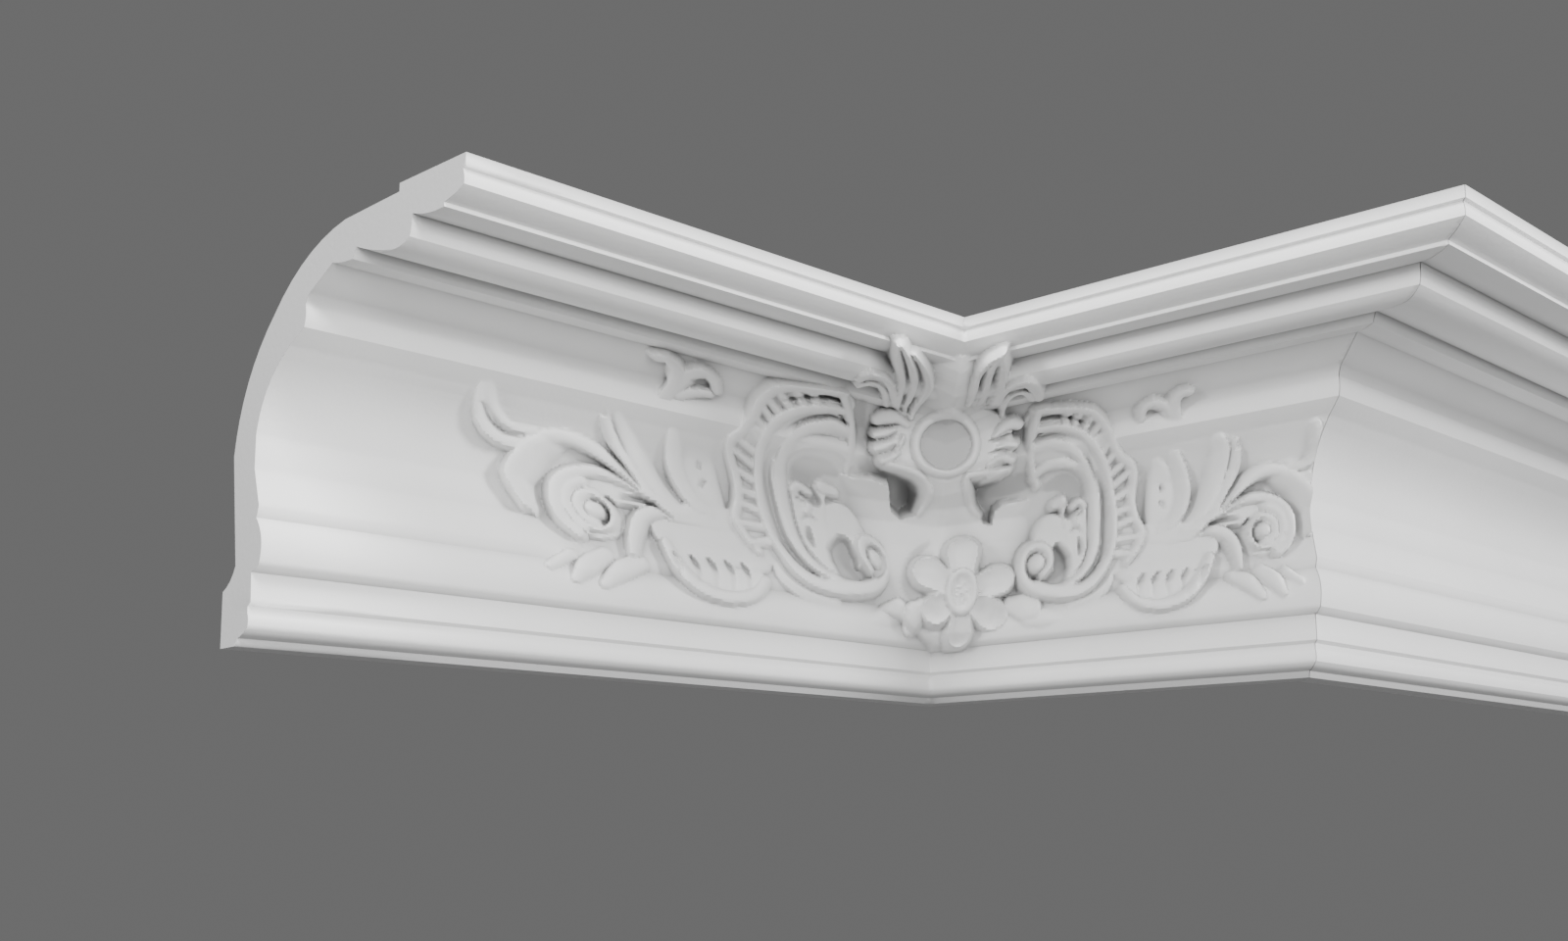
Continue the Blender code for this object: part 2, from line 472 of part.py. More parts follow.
def wings(a, s):
    """Rise of the scrolls, combed rims, sprays and shells."""
    x, y = wing_place(a, s)
    ground = np.interp(y, LIFT_S, LIFT_H)
    rise = np.full(a.shape, -50.0)
    for field in SCROLL_FIELDS:
        raise_stroke(rise, x, y, ground, field, "flat")
    web = []
    for k in range(9):
        inner, outer = comb_line(k, 8)
        middle = (inner + outer) / 2
        half = np.hypot(*(inner - outer)[:2]) / 2
        web.append((middle[0], middle[1], max(half, 2.0), 4.6))
    raise_stroke(rise, x, y, ground, web, "flat")
    for roll in SCROLL_ROLLS:
        raise_stroke(rise, x, y, ground, roll, "round")
    raise_stroke(rise, x, y, ground, RIDGE, "round")
    for k in range(RIB_COUNT):
        if (k + 0.5) / RIB_COUNT < RIB_START:
            continue
        inner, outer = comb_line(k + 0.5, RIB_COUNT)
        middle = (inner + outer) / 2
        rib = ((inner[0], inner[1], 2.0, 8.0), (middle[0], middle[1], 1.8, 8.8),
               (outer[0], outer[1], 1.4, 9.8))
        raise_stroke(rise, x, y, ground, rib, "round")
    raise_stroke(rise, x, y, ground, LIP, "round")
    raise_stroke(rise, x, y, ground, HOOK_EDGE, "round")
    for line in SCROLL_GROOVES:
        cut_stroke(rise, x, y, line)
    cut_stroke(rise, x, y, SCROLL_HOLLOWS[0])
    for bit in SCROLL_BITS:
        raise_stroke(rise, x, y, ground, bit, "round")
    raise_stroke(rise, x, y, ground, VOLUTE, "round")
    raise_stroke(rise, x, y, ground, VOLUTE_EYE, "round")
    cut_stroke(rise, x, y, SCROLL_HOLLOWS[1])
    for field in SPRAY_FIELDS:
        raise_stroke(rise, x, y, ground, field, "flat")
    for section, leaf in SPRAY_LEAVES:
        raise_stroke(rise, x, y, ground, leaf, section)
    for line in SPRAY_GROOVES + LEAF_SLITS:
        cut_stroke(rise, x, y, line)
    for k in range(SHELL_FLUTES):
        foot = 126.0 + 7.8 * k
        cut_stroke(rise, x, y, ((foot + 3.2, 53.0, 0.8, 4.0), (foot + 1.2, 50.5, 1.6, 4.5),
                                (foot - 0.4, 48.0, 1.4, 1.8), (foot - 0.6, 44, 1.6, 1.0),
                                (foot, 40, 1.0, 0.2)))
    for petal in ROSETTE_PETALS:
        raise_stroke(rise, x, y, ground, rosette_arc(*petal), "round")
    raise_stroke(rise, x, y, ground, rosette_arc(0.5, 0.5, 0, 180, 2.8, 10.4), "round")
    for gap in ROSETTE_GAPS:
        cut_stroke(rise, x, y, rosette_arc(*gap))
    return rise


def rosette_arc(start, end, first, last, width, height):
    """Path of an arc round the rosette's eye, from one radius and angle to another."""
    cx, cy = ROSETTE
    path = []
    for angle in range(int(first), int(last) + 1, 20):
        radius = start + (end - start) * (angle - first) / (last - first)
        t = math.radians(angle)
        path.append((cx + radius * math.cos(t), cy + radius * math.sin(t), width, height))
    return tuple(path)


def middle_body(a, s):
    """Rise of the belly, neck, medallion, fans, crown, flower and buds."""
    face = facing(a, s)
    top = np.interp(a, BELLY_TOP_A, BELLY_TOP_S)
    foot = np.interp(a, BELLY_FOOT_A, BELLY_FOOT_S)
    rise = face - 3.0 * np.maximum(0, s - top) - 1.6 * np.maximum(0, foot - s)
    near = (np.abs(a) < 75) & (s > 80)
    depth = inside_depth(a[near], s[near], PLATE)
    rise[near] = np.maximum(rise[near], face[near] - 3.2 * np.maximum(0, -depth))
    for rim in NECK_RIMS:
        raise_stroke(rise, a, s, face, rim, "round")
    crown = np.maximum(face, np.interp(s, CROWN_LIFT_S, CROWN_LIFT_H))
    for field in CROWN_FIELDS:
        raise_stroke(rise, a, s, crown, field, "flat")
    for leaf in CROWN_LEAVES + CROWN_CURLS:
        raise_stroke(rise, a, s, crown, leaf, "round")
    for leaf in FAN_LEAVES:
        raise_stroke(rise, a, s, face, leaf, "round")
    for slit in FAN_SLITS + CROWN_SLITS:
        cut_stroke(rise, a, s, slit)
    ground = np.maximum(np.minimum(rise, face), np.interp(s, LIFT_S, LIFT_H))
    for section, bud in BUDS:
        raise_stroke(rise, a, s, ground, bud, section)
    rise = np.maximum(rise, medallion(a, s, face))
    return flower(rise, a / math.sqrt(2), s, np.maximum(face, 1.0))


def flower(rise, across, s, ground):
    """Six petalled flower with turned up edges and a dished eye, in true width."""
    cx, cy = FLOWER
    for reach, angle, width in PETALS:
        ux = math.cos(math.radians(angle))
        uy = math.sin(math.radians(angle))
        petal = []
        for share, part in ((0.2, 0.62), (0.6, 0.8), (0.9, 1.0), (1.0, 1.0)):
            along_it = (reach - width) * share
            petal.append((cx + along_it * ux, cy + along_it * uy, width * part, FLOWER_LIFT))
        raise_stroke(rise, across, s, ground, petal, "cup")
    oval = np.hypot((across - cx) / FLOWER_EYE[0], (s - cy) / FLOWER_EYE[1])
    rim = 0.22
    edge = np.sqrt(np.maximum(0, 1 - ((oval - 1) / rim) ** 2))
    dish = FLOWER_LIFT - 1.2 + 1.6 * np.clip(oval, 0, 1) ** 2
    return np.maximum(rise, ground + np.where(oval < 1 + rim, dish + 1.3 * edge, -50.0))


def medallion(a, s, face):
    """Rise of the ringed boss, a true circle seen along the mitre from a little below."""
    _, z, _, down = guide(s)
    forward = VIEW_SLOPE * (np.interp(s, FACE_S, FACE_P) - MEDALLION_P)
    r = np.hypot(a / math.sqrt(2), z + face * down - MEDALLION_Z + forward)
    ring = np.sqrt(np.maximum(0, 1 - ((r - MEDALLION_R) / MEDALLION_RING) ** 2))
    disc = 1.2 + np.where(r < MEDALLION_R + MEDALLION_RING, 3.4 * ring,
                          -3.2 * (r - MEDALLION_R - MEDALLION_RING))
    near = (np.abs(a) < 35) & (s > 108) & (s < 195)
    return np.where(near, face + disc, -50.0)


def ornament(a, s):
    """Rise of the whole ornament over the guide line, parts blended where they meet."""
    body = middle_body(a, s)
    wing = wings(a, s)
    blend = 1.0
    gap = np.abs(body - wing)
    return np.maximum(body, wing) + np.where(gap < blend, (blend - gap) ** 2 / (4 * blend), 0)


def section_points(members, step):
    """Points of a section line: straight and bowed members split to a step."""
    points = [(members[0][1], members[0][2])]
    for before, (_, p, z, bow) in zip(members[:-1], members[1:]):
        dp = p - before[1]
        dz = z - before[2]
        length = math.hypot(dp, dz)
        count = max(1, math.ceil(length / step))
        if bow and count < 3:
            count = 3
        for k in range(1, count + 1):
            t = k / count
            swell = 4 * bow * t * (1 - t) / length
            points.append((before[1] + dp * t - dz * swell, before[2] + dz * t + dp * swell))
    return np.array(points)


def on_guide(points):
    """Length along the guide line and height above it for each section point."""
    s = np.arange(0.0, 290.0, 0.05)
    p, z, out, down = guide(s)
    lengths = []
    heights = []
    for point in points:
        cross = (point[0] - p) * down - (point[1] - z) * out
        turns = np.nonzero(np.sign(cross[:-1]) != np.sign(cross[1:]))[0]
        if len(turns) == 0:
            turns = np.array([int(np.argmin(np.abs(cross)))])
        rise = (point[0] - p[turns]) * out[turns] + (point[1] - z[turns]) * down[turns]
        k = int(np.argmin(np.abs(rise)))
        lengths.append(s[turns[k]])
        heights.append(rise[k])
    return np.array(lengths), np.array(heights)


def run_columns():
    """Places along the casting: negative on the left run, positive on the return run."""
    left = np.arange(-ORNAMENT_LEFT, 0.0, GRID_STEP)
    right_end = RETURN_RUN - MITRE_GAP / math.sqrt(2)
    right = np.linspace(0.0, right_end, int(right_end / GRID_STEP))
    return np.concatenate(([COVE_P - LEFT_RUN], left, right))


def casting_points(front, columns):
    """Front surface points of the casting, the ornament raised over the plain section."""
    s, height = on_guide(front)
    p = front[:, 0][:, None] * np.ones_like(columns)
    z = front[:, 1][:, None] * np.ones_like(columns)
    reach = np.abs(columns)[None, :] * np.ones_like(p)
    share = (LEFT_RUN - p - SQUARE_ZONE) / (LEFT_RUN - COVE_P - SQUARE_ZONE)
    squeezed = SQUARE_ZONE + (reach - SQUARE_ZONE) * share
    reach = np.where((columns[None, :] < 0) & (reach > SQUARE_ZONE), squeezed, reach)
    signed = np.where(columns[None, :] < 0, -reach, reach)
    rows = (s > ORNAMENT_FOOT) & (s < ORNAMENT_HEAD)
    rise = np.zeros_like(p)
    over = ornament(signed[rows], s[rows][:, None] * np.ones_like(columns)) - height[rows][:, None]
    soft = 0.5
    over = np.where(over > soft, over, np.where(over < -soft, 0, (over + soft) ** 2 / (4 * soft)))
    fade = np.clip((RETURN_RUN - 1.0 - signed[rows]) / 2.0, 0, 1)
    fade = fade * np.clip((ORNAMENT_HEAD - s[rows][:, None]) / 3.0, 0, 1)
    fade = fade * np.clip((s[rows][:, None] - ORNAMENT_FOOT) / 3.0, 0, 1)
    rise[rows] = over * fade * (signed[rows] > -ORNAMENT_LEFT)
    _, _, out, down = guide(s)
    p = p + rise * out[:, None]
    z = z + rise * down[:, None]
    x = np.where(columns[None, :] < 0, CORNER - p - reach, CORNER - p)
    y = np.where(columns[None, :] < 0, CORNER - p, CORNER - p - reach)
    return np.stack([x, y, z], axis=-1)


def casting_mesh():
    """Closed mesh of the corner casting: carved front, plain scooped back, square left end."""
    front = section_points(FRONT_MEMBERS, PROFILE_STEP)
    back = section_points(BACK_MEMBERS, 2 * PROFILE_STEP)[1:]
    columns = run_columns()
    grid = casting_points(front, columns)
    rows, cols, _ = grid.shape
    fold = int(np.argmin(np.abs(columns)))
    verts = list(grid.reshape(-1, 3))
    faces = []
    for j in range(rows - 1):
        for c in range(cols - 1):
            here = j * cols + c
            faces.append((here, here + cols, here + cols + 1, here + 1))
    first = len(verts)
    end = RETURN_RUN - MITRE_GAP / math.sqrt(2)
    for p, z in back:
        verts.append((CORNER - LEFT_RUN, CORNER - p, z))
        verts.append((CORNER - p, CORNER - p, z))
        verts.append((CORNER - p, CORNER - p - end, z))
    for k in range(len(back) - 1):
        for side in (0, 1):
            here = first + 3 * k + side
            faces.append((here, here + 3, here + 4, here + 1))
    last = first + 3 * (len(back) - 1)
    foot = (rows - 1) * cols
    faces.append(tuple(foot + c for c in range(fold, -1, -1)) + (first, first + 1))
    faces.append(tuple(foot + c for c in range(cols - 1, fold - 1, -1)) + (first + 1, first + 2))
    faces.append(tuple(range(0, fold + 1)) + (last + 1, last))
    faces.append(tuple(range(fold, cols)) + (last + 2, last + 1))
    left_end = [j * cols for j in range(rows)] + [first + 3 * k for k in range(len(back))]
    right_end = [j * cols + cols - 1 for j in range(rows)]
    right_end += [first + 3 * k + 2 for k in range(len(back))]
    faces.append(tuple(reversed(left_end)))
    faces.append(tuple(right_end))
    return verts, faces


def plain_mesh():
    """Closed mesh of the plain length: one section from the outside mitre to a square end."""
    front = section_points(FRONT_MEMBERS, 2 * PROFILE_STEP)
    back = section_points(BACK_MEMBERS, 2 * PROFILE_STEP)[1:-1]
    section = np.vstack([front, back, [[BACK_MEMBERS[-1][1], BACK_MEMBERS[-1][2]]]])
    count = len(section)
    wall = CORNER - RETURN_RUN
    verts = []
    for p, z in section:
        verts.append((CORNER - p + MITRE_GAP / math.sqrt(2), wall - p, z))
        verts.append((CORNER + PLAIN_RUN, wall - p, z))
    faces = []
    for k in range(count):
        here = 2 * k
        there = 2 * ((k + 1) % count)
        faces.append((here, there, there + 1, here + 1))
    faces.append(tuple(2 * k for k in reversed(range(count))))
    faces.append(tuple(2 * k + 1 for k in range(count)))
    return verts, faces


def plaster(name, colour):
    """Matte white paint."""
    material = bpy.data.materials.new(name)
    material.use_nodes = True
    shader = material.node_tree.nodes["Principled BSDF"]
    shader.inputs["Base Color"].default_value = (*colour, 1.0)
    shader.inputs["Roughness"].default_value = 0.6
    shader.inputs["Metallic"].default_value = 0.0
    return material


def add_piece(name, mesh_data, material, kept_share):
    """One named solid from its points and faces."""
    verts, faces = mesh_data
    mesh = bpy.data.meshes.new(name)
    mesh.from_pydata([tuple(float(c) * MM for c in v) for v in verts], [], faces)
    mesh.validate()
    mesh.materials.append(material)
    mesh.update()
    piece = bpy.data.objects.new(name, mesh)
    bpy.context.scene.collection.objects.link(piece)
    if kept_share < 1.0:
        thin = piece.modifiers.new("Thin", "DECIMATE")
        thin.decimate_type = "COLLAPSE"
        thin.ratio = kept_share
        thin.use_collapse_triangulate = True
    return piece


def main():
    """Build both pieces."""
    for old in list(bpy.data.objects):
        bpy.data.objects.remove(old, do_unlink=True)
    white = plaster("casting_white", (0.86, 0.86, 0.85))
    plain_white = plaster("plain_white", (0.86, 0.86, 0.86))
    add_piece("corner_casting", casting_mesh(), white, KEPT_SHARE)
    add_piece("plain_length", plain_mesh(), plain_white, 1.0)


main()
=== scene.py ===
"""Cornice moulding with a rocaille ornament over its inside corner: the finished look.

Everything is in metres in the part's frame: +Z up, origin on the ceiling face at the
inside corner's mitre. The section and the ornament are worked out in millimetres.
"""
from __future__ import annotations

import logging
import math
from dataclasses import dataclass
from enum import Enum

import bmesh
import bpy
import numpy as np
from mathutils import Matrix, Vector


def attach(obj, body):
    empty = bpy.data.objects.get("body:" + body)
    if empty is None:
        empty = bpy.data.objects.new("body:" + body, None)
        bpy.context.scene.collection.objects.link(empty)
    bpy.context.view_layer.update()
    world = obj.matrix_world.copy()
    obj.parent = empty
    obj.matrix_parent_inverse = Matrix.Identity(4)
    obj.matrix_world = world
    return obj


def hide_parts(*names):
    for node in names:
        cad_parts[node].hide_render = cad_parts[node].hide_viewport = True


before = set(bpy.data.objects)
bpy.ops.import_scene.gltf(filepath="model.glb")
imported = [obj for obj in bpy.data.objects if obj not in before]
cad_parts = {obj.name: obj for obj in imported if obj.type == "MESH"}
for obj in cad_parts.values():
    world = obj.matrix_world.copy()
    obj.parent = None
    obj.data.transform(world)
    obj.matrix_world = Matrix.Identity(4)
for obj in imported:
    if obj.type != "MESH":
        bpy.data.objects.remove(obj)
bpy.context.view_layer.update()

LOG = logging.getLogger("cornice")

MM = 0.001
HEIGHT = 150.0
CORNER = 130.75
MITRE_GAP = 0.3
RETURN_RUN = 217.0
WELD = 1e-6

Path = tuple[tuple[float, ...], ...]


class Cut(Enum):
    """Cross section that a carving stroke leaves."""

    ROUND = "round"
    ROOF = "roof"
    CUP = "cup"
    BLADE = "blade"
    FLAT = "flat"


# front of the section from the ceiling down: name, distance from wall, height, bow
FRONT_MEMBERS = (
    ("top edge", 150.0, 0.0, 0.0),
    ("top fillet", 150.0, -4.4, 0.0),
    ("quirk", 148.5, -5.0, 0.0),
    ("fascia", 149.3, -10.4, 0.4),
    ("soffit bevel", 138.2, -13.6, 0.5),
    ("nose", 138.4, -15.2, 0.0),
    ("soffit sweep", 120.0, -12.8, 1.0),
    ("step", 119.2, -14.2, 0.0),
    ("fillet", 118.4, -20.4, 0.5),
    ("lip", 107.4, -22.4, 1.0),
    ("reverse sweep", 85.4, -15.9, 0.6),
    ("step", 83.0, -19.8, 0.0),
    ("flat", 69.7, -18.0, 0.4),
    ("bevel", 55.0, -25.4, 0.2),
    ("bead top", 52.4, -29.4, -0.4),
    ("bead face", 51.8, -37.6, 0.7),
    ("bead foot", 42.4, -42.4, 0.2),
    ("quirk", 37.0, -46.0, 0.0),
    ("cove", 20.2, -72.0, -3.0),
    ("flat", 20.1, -84.6, 0.0),
    ("sweep", 24.3, -98.7, 0.0),
    ("quirk", 22.8, -103.4, 0.3),
    ("torus", 26.1, -120.9, 2.7),
    ("torus foot", 20.8, -123.4, 0.4),
    ("fascia", 21.3, -134.5, 0.0),
    ("groove", 19.2, -135.8, 0.0),
    ("groove foot", 19.2, -138.2, 0.0),
    ("bead", 19.5, -143.6, 0.6),
    ("under bevel", 12.7, -147.0, 0.4),
    ("toe", 12.0, -149.8, 0.0),
    ("wall edge", 0.0, -150.0, 0.0),
)

# scooped back of the section from the wall edge up to the ceiling face
BACK_MEMBERS = (
    ("wall edge", 0.0, -150.0, 0.0),
    ("wall face", 0.0, -128.8, 0.0),
    ("scoop foot", 8.9, -119.8, -1.2),
    ("scoop", 4.2, -78.1, 0.0),
    ("scoop bend", 30.3, -28.4, 5.0),
    ("scoop head", 77.4, -4.0, 4.6),
    ("scoop end", 111.5, -3.0, 0.0),
    ("ceiling face", 111.5, 0.0, 0.0),
)

# lean of the ornament's middle: distance from wall at each height on the guide line
FACE_S = (
    10, 15, 21, 34, 48, 63, 78, 90, 100, 109, 118, 127, 147, 163, 172, 185, 198, 210, 220, 232,
)
FACE_P = (
    14, 18, 24, 38, 45, 50, 52, 55, 62, 73, 80, 84.5, 88, 93, 99, 112, 125, 133, 138, 142,
)

# ground the wings stand on
LIFT_S = (15, 30, 42, 58, 95, 112, 125, 160, 200)
LIFT_H = (5, 7, 6, 3, 3, 6.5, 7, 5, 5)
# ground the crown's leaves stand on, clear of the soffit's members
CROWN_LIFT_S = (150, 170, 190, 215, 235)
CROWN_LIFT_H = (6, 9, 11, 9, 6)

# wing strokes for the right wing: distance from mitre, height on guide, half width, rise
LIP = (
    (58, 151, 2.2, 10), (66, 149.5, 2.4, 10), (77, 147, 2.4, 10), (88, 143, 2.2, 10),
    (95, 137, 2.0, 10), (101, 129, 2.0, 10), (106, 120, 2.0, 10), (112, 112, 2.0, 10),
    (119, 106, 2.0, 10), (121.5, 99, 2.0, 10), (121.5, 88, 2.0, 10), (124, 80, 1.8, 9.5),
    (127.5, 73, 1.8, 9.5), (125, 66, 1.8, 9), (119, 59.5, 1.5, 8.5),
)
RIDGE = (
    (60, 137, 2.2, 9.5), (71, 136.5, 2.2, 9.5), (84, 131, 2.0, 10), (95, 121, 2.0, 10),
    (103, 110, 1.9, 10), (108.5, 98, 1.8, 10), (111.5, 86, 1.7, 10), (112, 75, 1.7, 10),
    (110, 65, 1.8, 10), (104.5, 57, 2.2, 10.3), (97, 51.3, 2.8, 10.6), (87, 48.6, 3.2, 11),
    (76, 49.3, 3.1, 11.5), (66, 52.5, 3.0, 12),
)
VOLUTE = (
    (87, 49, 3.2, 11), (76, 49.6, 3.2, 11.5), (66, 51.5, 3.0, 12), (59, 56, 2.6, 12.5),
    (56.5, 63.5, 2.3, 13), (59.5, 70.5, 2.1, 13.2), (66.5, 73, 2.0, 13.2), (72.8, 70, 1.9, 13),
    (74.3, 63.5, 1.7, 12.5), (70.5, 58.8, 1.5, 12),
)
VOLUTE_EYE = ((65.6, 64, 3.8, 14), (66.8, 64.6, 3.8, 14))
SCROLL_FIELDS = (
    ((70, 126, 9, 7), (84, 120, 9, 7), (95, 107, 9, 7), (101, 90, 8, 7.5), (101, 74, 8, 8),
     (94, 62, 8, 8.5)),
    ((92, 82, 14, 7.5), (86, 68, 12, 8), (76, 78, 10, 7)),
)
SCROLL_ROLLS = (
    ((60, 124.5, 3.4, 9.5), (70, 126, 4.0, 9.8), (80, 122, 4.0, 9.8), (89, 114, 3.8, 9.5),
     (96, 105, 3.2, 9), (99.5, 96, 2.8, 8.8), (101, 87, 2.6, 8.8), (101.5, 78, 2.6, 9),
     (100.5, 69, 2.6, 9.2), (96.5, 60.5, 2.6, 9.5), (90.5, 54.5, 2.4, 9.8), (83, 50.5, 2.2, 10)),
    ((62, 109, 2.2, 8.5), (69, 113.5, 2.8, 9.2), (78, 114, 2.8, 9.2), (87, 109.5, 2.6, 8.8),
     (92.5, 102, 2.0, 8.2)),
)
HOOK_EDGE = (
    (58.5, 149, 2.2, 10), (58, 137, 2.2, 10), (58.5, 124, 2.2, 9.8), (61, 113, 2.0, 9),
    (66, 104, 1.8, 8),
)
SCROLL_GROOVES = (
    ((60, 130.3, 1.5, 3.5), (70, 131.6, 1.7, 5), (80, 128, 1.6, 5), (88, 121.5, 1.4, 4),
     (95, 112, 1.2, 3), (100, 103, 1.2, 2)),
    ((62, 143.5, 1.5, 4), (70, 143, 1.8, 5), (80, 140, 1.7, 4.5), (90, 134, 1.2, 2.5)),
    ((63, 117, 1.3, 3), (71, 119.6, 1.6, 4.5), (80, 118.6, 1.4, 4), (88, 113, 1.0, 2)),
    ((100, 106, 1.2, 1.5), (105, 97, 2.0, 3.5), (106.8, 88, 2.5, 5), (107, 77, 2.7, 5.5),
     (105.5, 67, 2.5, 5.5), (100.5, 58.5, 2.1, 5), (93.5, 53.4, 1.6, 4), (87, 51.5, 1.0, 1.5)),
    ((95.5, 98, 0.9, 1.5), (97.2, 88, 1.1, 2.8), (97.8, 77, 1.1, 3), (97, 68, 1.1, 3),
     (93.5, 60.5, 1.1, 2.8), (88, 55.5, 0.9, 1.5)),
    ((92.5, 73.5, 1.2, 3), (93, 70, 1.9, 5), (92.4, 66.5, 1.3, 3)),
    ((88, 78, 0.9, 1.5), (91, 80, 1.1, 2.5), (94, 77.5, 0.9, 1.5)),
    ((91, 85.5, 0.9, 2), (94, 87, 1.0, 2.8)),
)
SCROLL_HOLLOW = (
    (73, 104, 4.0, 7), (81, 105, 6.5, 12), (88, 100.5, 7.0, 13), (90.5, 93.5, 5.5, 11),
    (86.5, 87.5, 3.4, 7),
)
VOLUTE_HOLLOW = (
    (80, 70.5, 3.2, 9), (82.2, 65, 5.4, 15), (81.5, 58.8, 4.8, 15), (77, 55.5, 2.4, 10),
)
SCROLL_BITS = (
    ((77, 93, 2.2, 8.6), (81.5, 94, 2.8, 9.8)),
    ((88.5, 90.5, 1.5, 8.8), (92, 92.5, 1.6, 9.4), (95, 90, 1.4, 8.8)),
    ((89.5, 84, 1.5, 9), (91, 81.5, 1.4, 9)),
)
SPRAY_FIELDS = (
    ((124, 60, 8, 5), (138, 60, 9, 5), (152, 60, 9, 5), (164, 62, 5, 5)),
    ((128, 71, 5, 5), (140, 71, 5, 5.5), (152, 70.5, 4, 6.5), (159, 70, 3, 7)),
    ((138, 76, 6, 4.5), (139, 88, 7, 5), (137, 98, 6, 4.5), (134, 105, 3, 4)),
    ((172, 76, 5, 5), (184, 74, 5, 5), (192, 68, 9, 5)),
    ((121, 47, 4, 5), (131, 45, 6, 5), (142, 44.5, 6.5, 5), (153, 47.5, 5, 5)),
)
SPRAY_BLADES = (
    ((143.5, 108, 1.6, 6.5), (148.5, 98.5, 2.0, 8), (151, 89.5, 2.2, 8.5), (149.5, 81, 2.2, 8),
     (144.5, 75, 2.0, 7), (138, 73, 1.6, 6)),
    ((160, 117, 1.6, 4.5), (165, 112, 2.0, 7), (168.5, 106, 2.2, 7.5), (169, 97, 2.4, 7.5),
     (166.5, 87, 2.2, 7), (161.5, 78.5, 2.0, 6.5), (154, 72, 1.6, 6)),
    ((211, 111.5, 1.4, 7), (215.5, 105, 1.8, 8.5), (219, 98, 2.2, 9.5), (220.5, 92, 2.4, 9.5),
     (218, 88, 2.4, 9), (212, 87.2, 2.4, 8), (204, 90, 2.2, 6.5)),
    ((198, 92, 1.8, 6.5), (206, 87.5, 1.8, 8), (213, 80.5, 1.9, 9), (217, 74.5, 1.8, 9),
     (216.5, 69.5, 1.6, 8.5), (214.5, 63.5, 1.1, 7.5)),
)
SPRAY_LEAVES = (
    ((147, 118, 2.6, 6), (141.5, 124.5, 2.8, 7), (137, 131.5, 3.0, 8), (135.5, 138, 3.0, 8.5),
     (138, 142, 2.8, 8.5), (142.5, 141, 2.0, 7.5)),
    ((141, 124, 2.4, 6.5), (135, 130.5, 2.4, 7.5), (129.5, 136, 2.8, 8), (123.5, 139, 2.8, 8.5),
     (119.5, 136, 2.4, 8), (120, 130, 1.8, 7)),
    ((139, 122, 1.8, 6), (131, 126, 2.0, 6.5), (124, 127.5, 1.8, 6.5)),
    ((161, 73.5, 1.8, 6.5), (170, 79.5, 2.4, 8), (177.5, 85.5, 2.8, 9), (185, 91, 3.0, 9),
     (192, 93, 3.0, 8.5), (200, 92, 2.6, 7)),
    ((156, 71.5, 1.8, 7), (165, 75.5, 2.0, 8.5), (175, 79.5, 2.2, 9), (184, 81.5, 2.2, 9),
     (193, 80, 2.2, 9), (200.5, 75, 2.4, 9), (203.5, 67.5, 2.4, 9), (202.5, 60.5, 2.2, 8.5),
     (197, 55.5, 1.8, 8)),
    ((150, 70.5, 1.8, 7), (158, 70.5, 2.0, 8), (166, 69, 2.4, 8.8), (173, 65.5, 2.6, 9),
     (177, 58.5, 2.4, 9), (178, 51, 1.4, 8)),
    ((212, 109, 1.6, 8), (214.5, 100, 1.8, 9), (213.3, 94.8, 1.8, 9), (209.5, 92.6, 1.6, 8),
     (203, 93, 1.4, 6.5)),
    ((117, 47, 2.0, 6.5), (121, 42, 2.2, 8), (128, 38.5, 2.4, 9), (138, 37.5, 2.4, 9.6),
     (147, 39.5, 2.4, 10), (154, 44, 2.4, 10), (159.5, 50, 2.4, 9.6), (163.5, 57, 2.0, 8.8)),
    ((175, 47, 2.5, 5), (182, 43.5, 4.2, 6.5), (189, 37, 2.4, 5)),
    ((189, 48.5, 3.0, 5), (195, 43, 4.0, 6.5), (199, 37.5, 2.2, 5)),
    ((201, 47, 2, 4.5), (208, 41.5, 1.8, 4)),
    ((117, 54, 3.2, 5), (123, 53, 3.4, 5.6), (128, 53.5, 2.4, 5)),
)
SPRAY_ROOFS = (
    ((164, 76, 2.0, 6.5), (170, 83.5, 2.4, 8), (174, 91, 2.6, 8.5), (175.5, 99, 2.4, 8.5),
     (174, 109, 1.2, 8)),
    ((86, 42, 3, 3.5), (97, 45, 4, 4), (107, 50, 3.4, 5), (111, 56, 2.4, 5)),
)
SPRAY_GROOVES = (
    ((138.5, 93.5, 1.2, 3), (139, 92, 1.2, 3)),
    ((138.5, 86, 1.2, 2.4), (140.5, 84, 1.2, 2.4)),
    ((130.5, 132, 1.2, 3), (126.5, 133, 1.8, 5.5), (123.5, 131.8, 1.2, 3)),
    ((145.5, 134.5, 1.6, 4), (143.5, 130, 2.4, 6.5), (146, 125.5, 1.8, 4)),
    ((176.5, 112, 2.0, 4), (175, 106, 1.6, 3)),
    ((217.8, 99.5, 0.9, 2.5), (218, 93.5, 1.3, 4), (214, 90, 1.3, 4), (208, 90.4, 0.9, 2)),
    ((171, 77, 1.0, 2.5), (178, 81.8, 1.4, 5), (186, 86.2, 1.9, 5.5), (194, 86.8, 1.6, 4),
     (200, 82, 1.2, 2.5)),
    ((169.5, 78.5, 0.9, 2.5), (173.7, 84.5, 1.3, 5), (178, 91, 1.5, 5.5), (181, 98, 0.9, 2)),
    ((158, 67.5, 0.8, 2), (165, 72, 1.2, 5), (172, 73.5, 1.4, 5.5), (179, 73, 1.2, 3)),
)
# one flute of the shell, from its notched head down, across from the flute's foot
SHELL_FLUTE = (
    (3.2, 53.0, 0.8, 4.0), (1.2, 50.5, 1.6, 4.5), (-0.4, 48.0, 1.4, 1.8), (-0.6, 44, 1.6, 1.0),
    (0, 40, 1.0, 0.2),
)
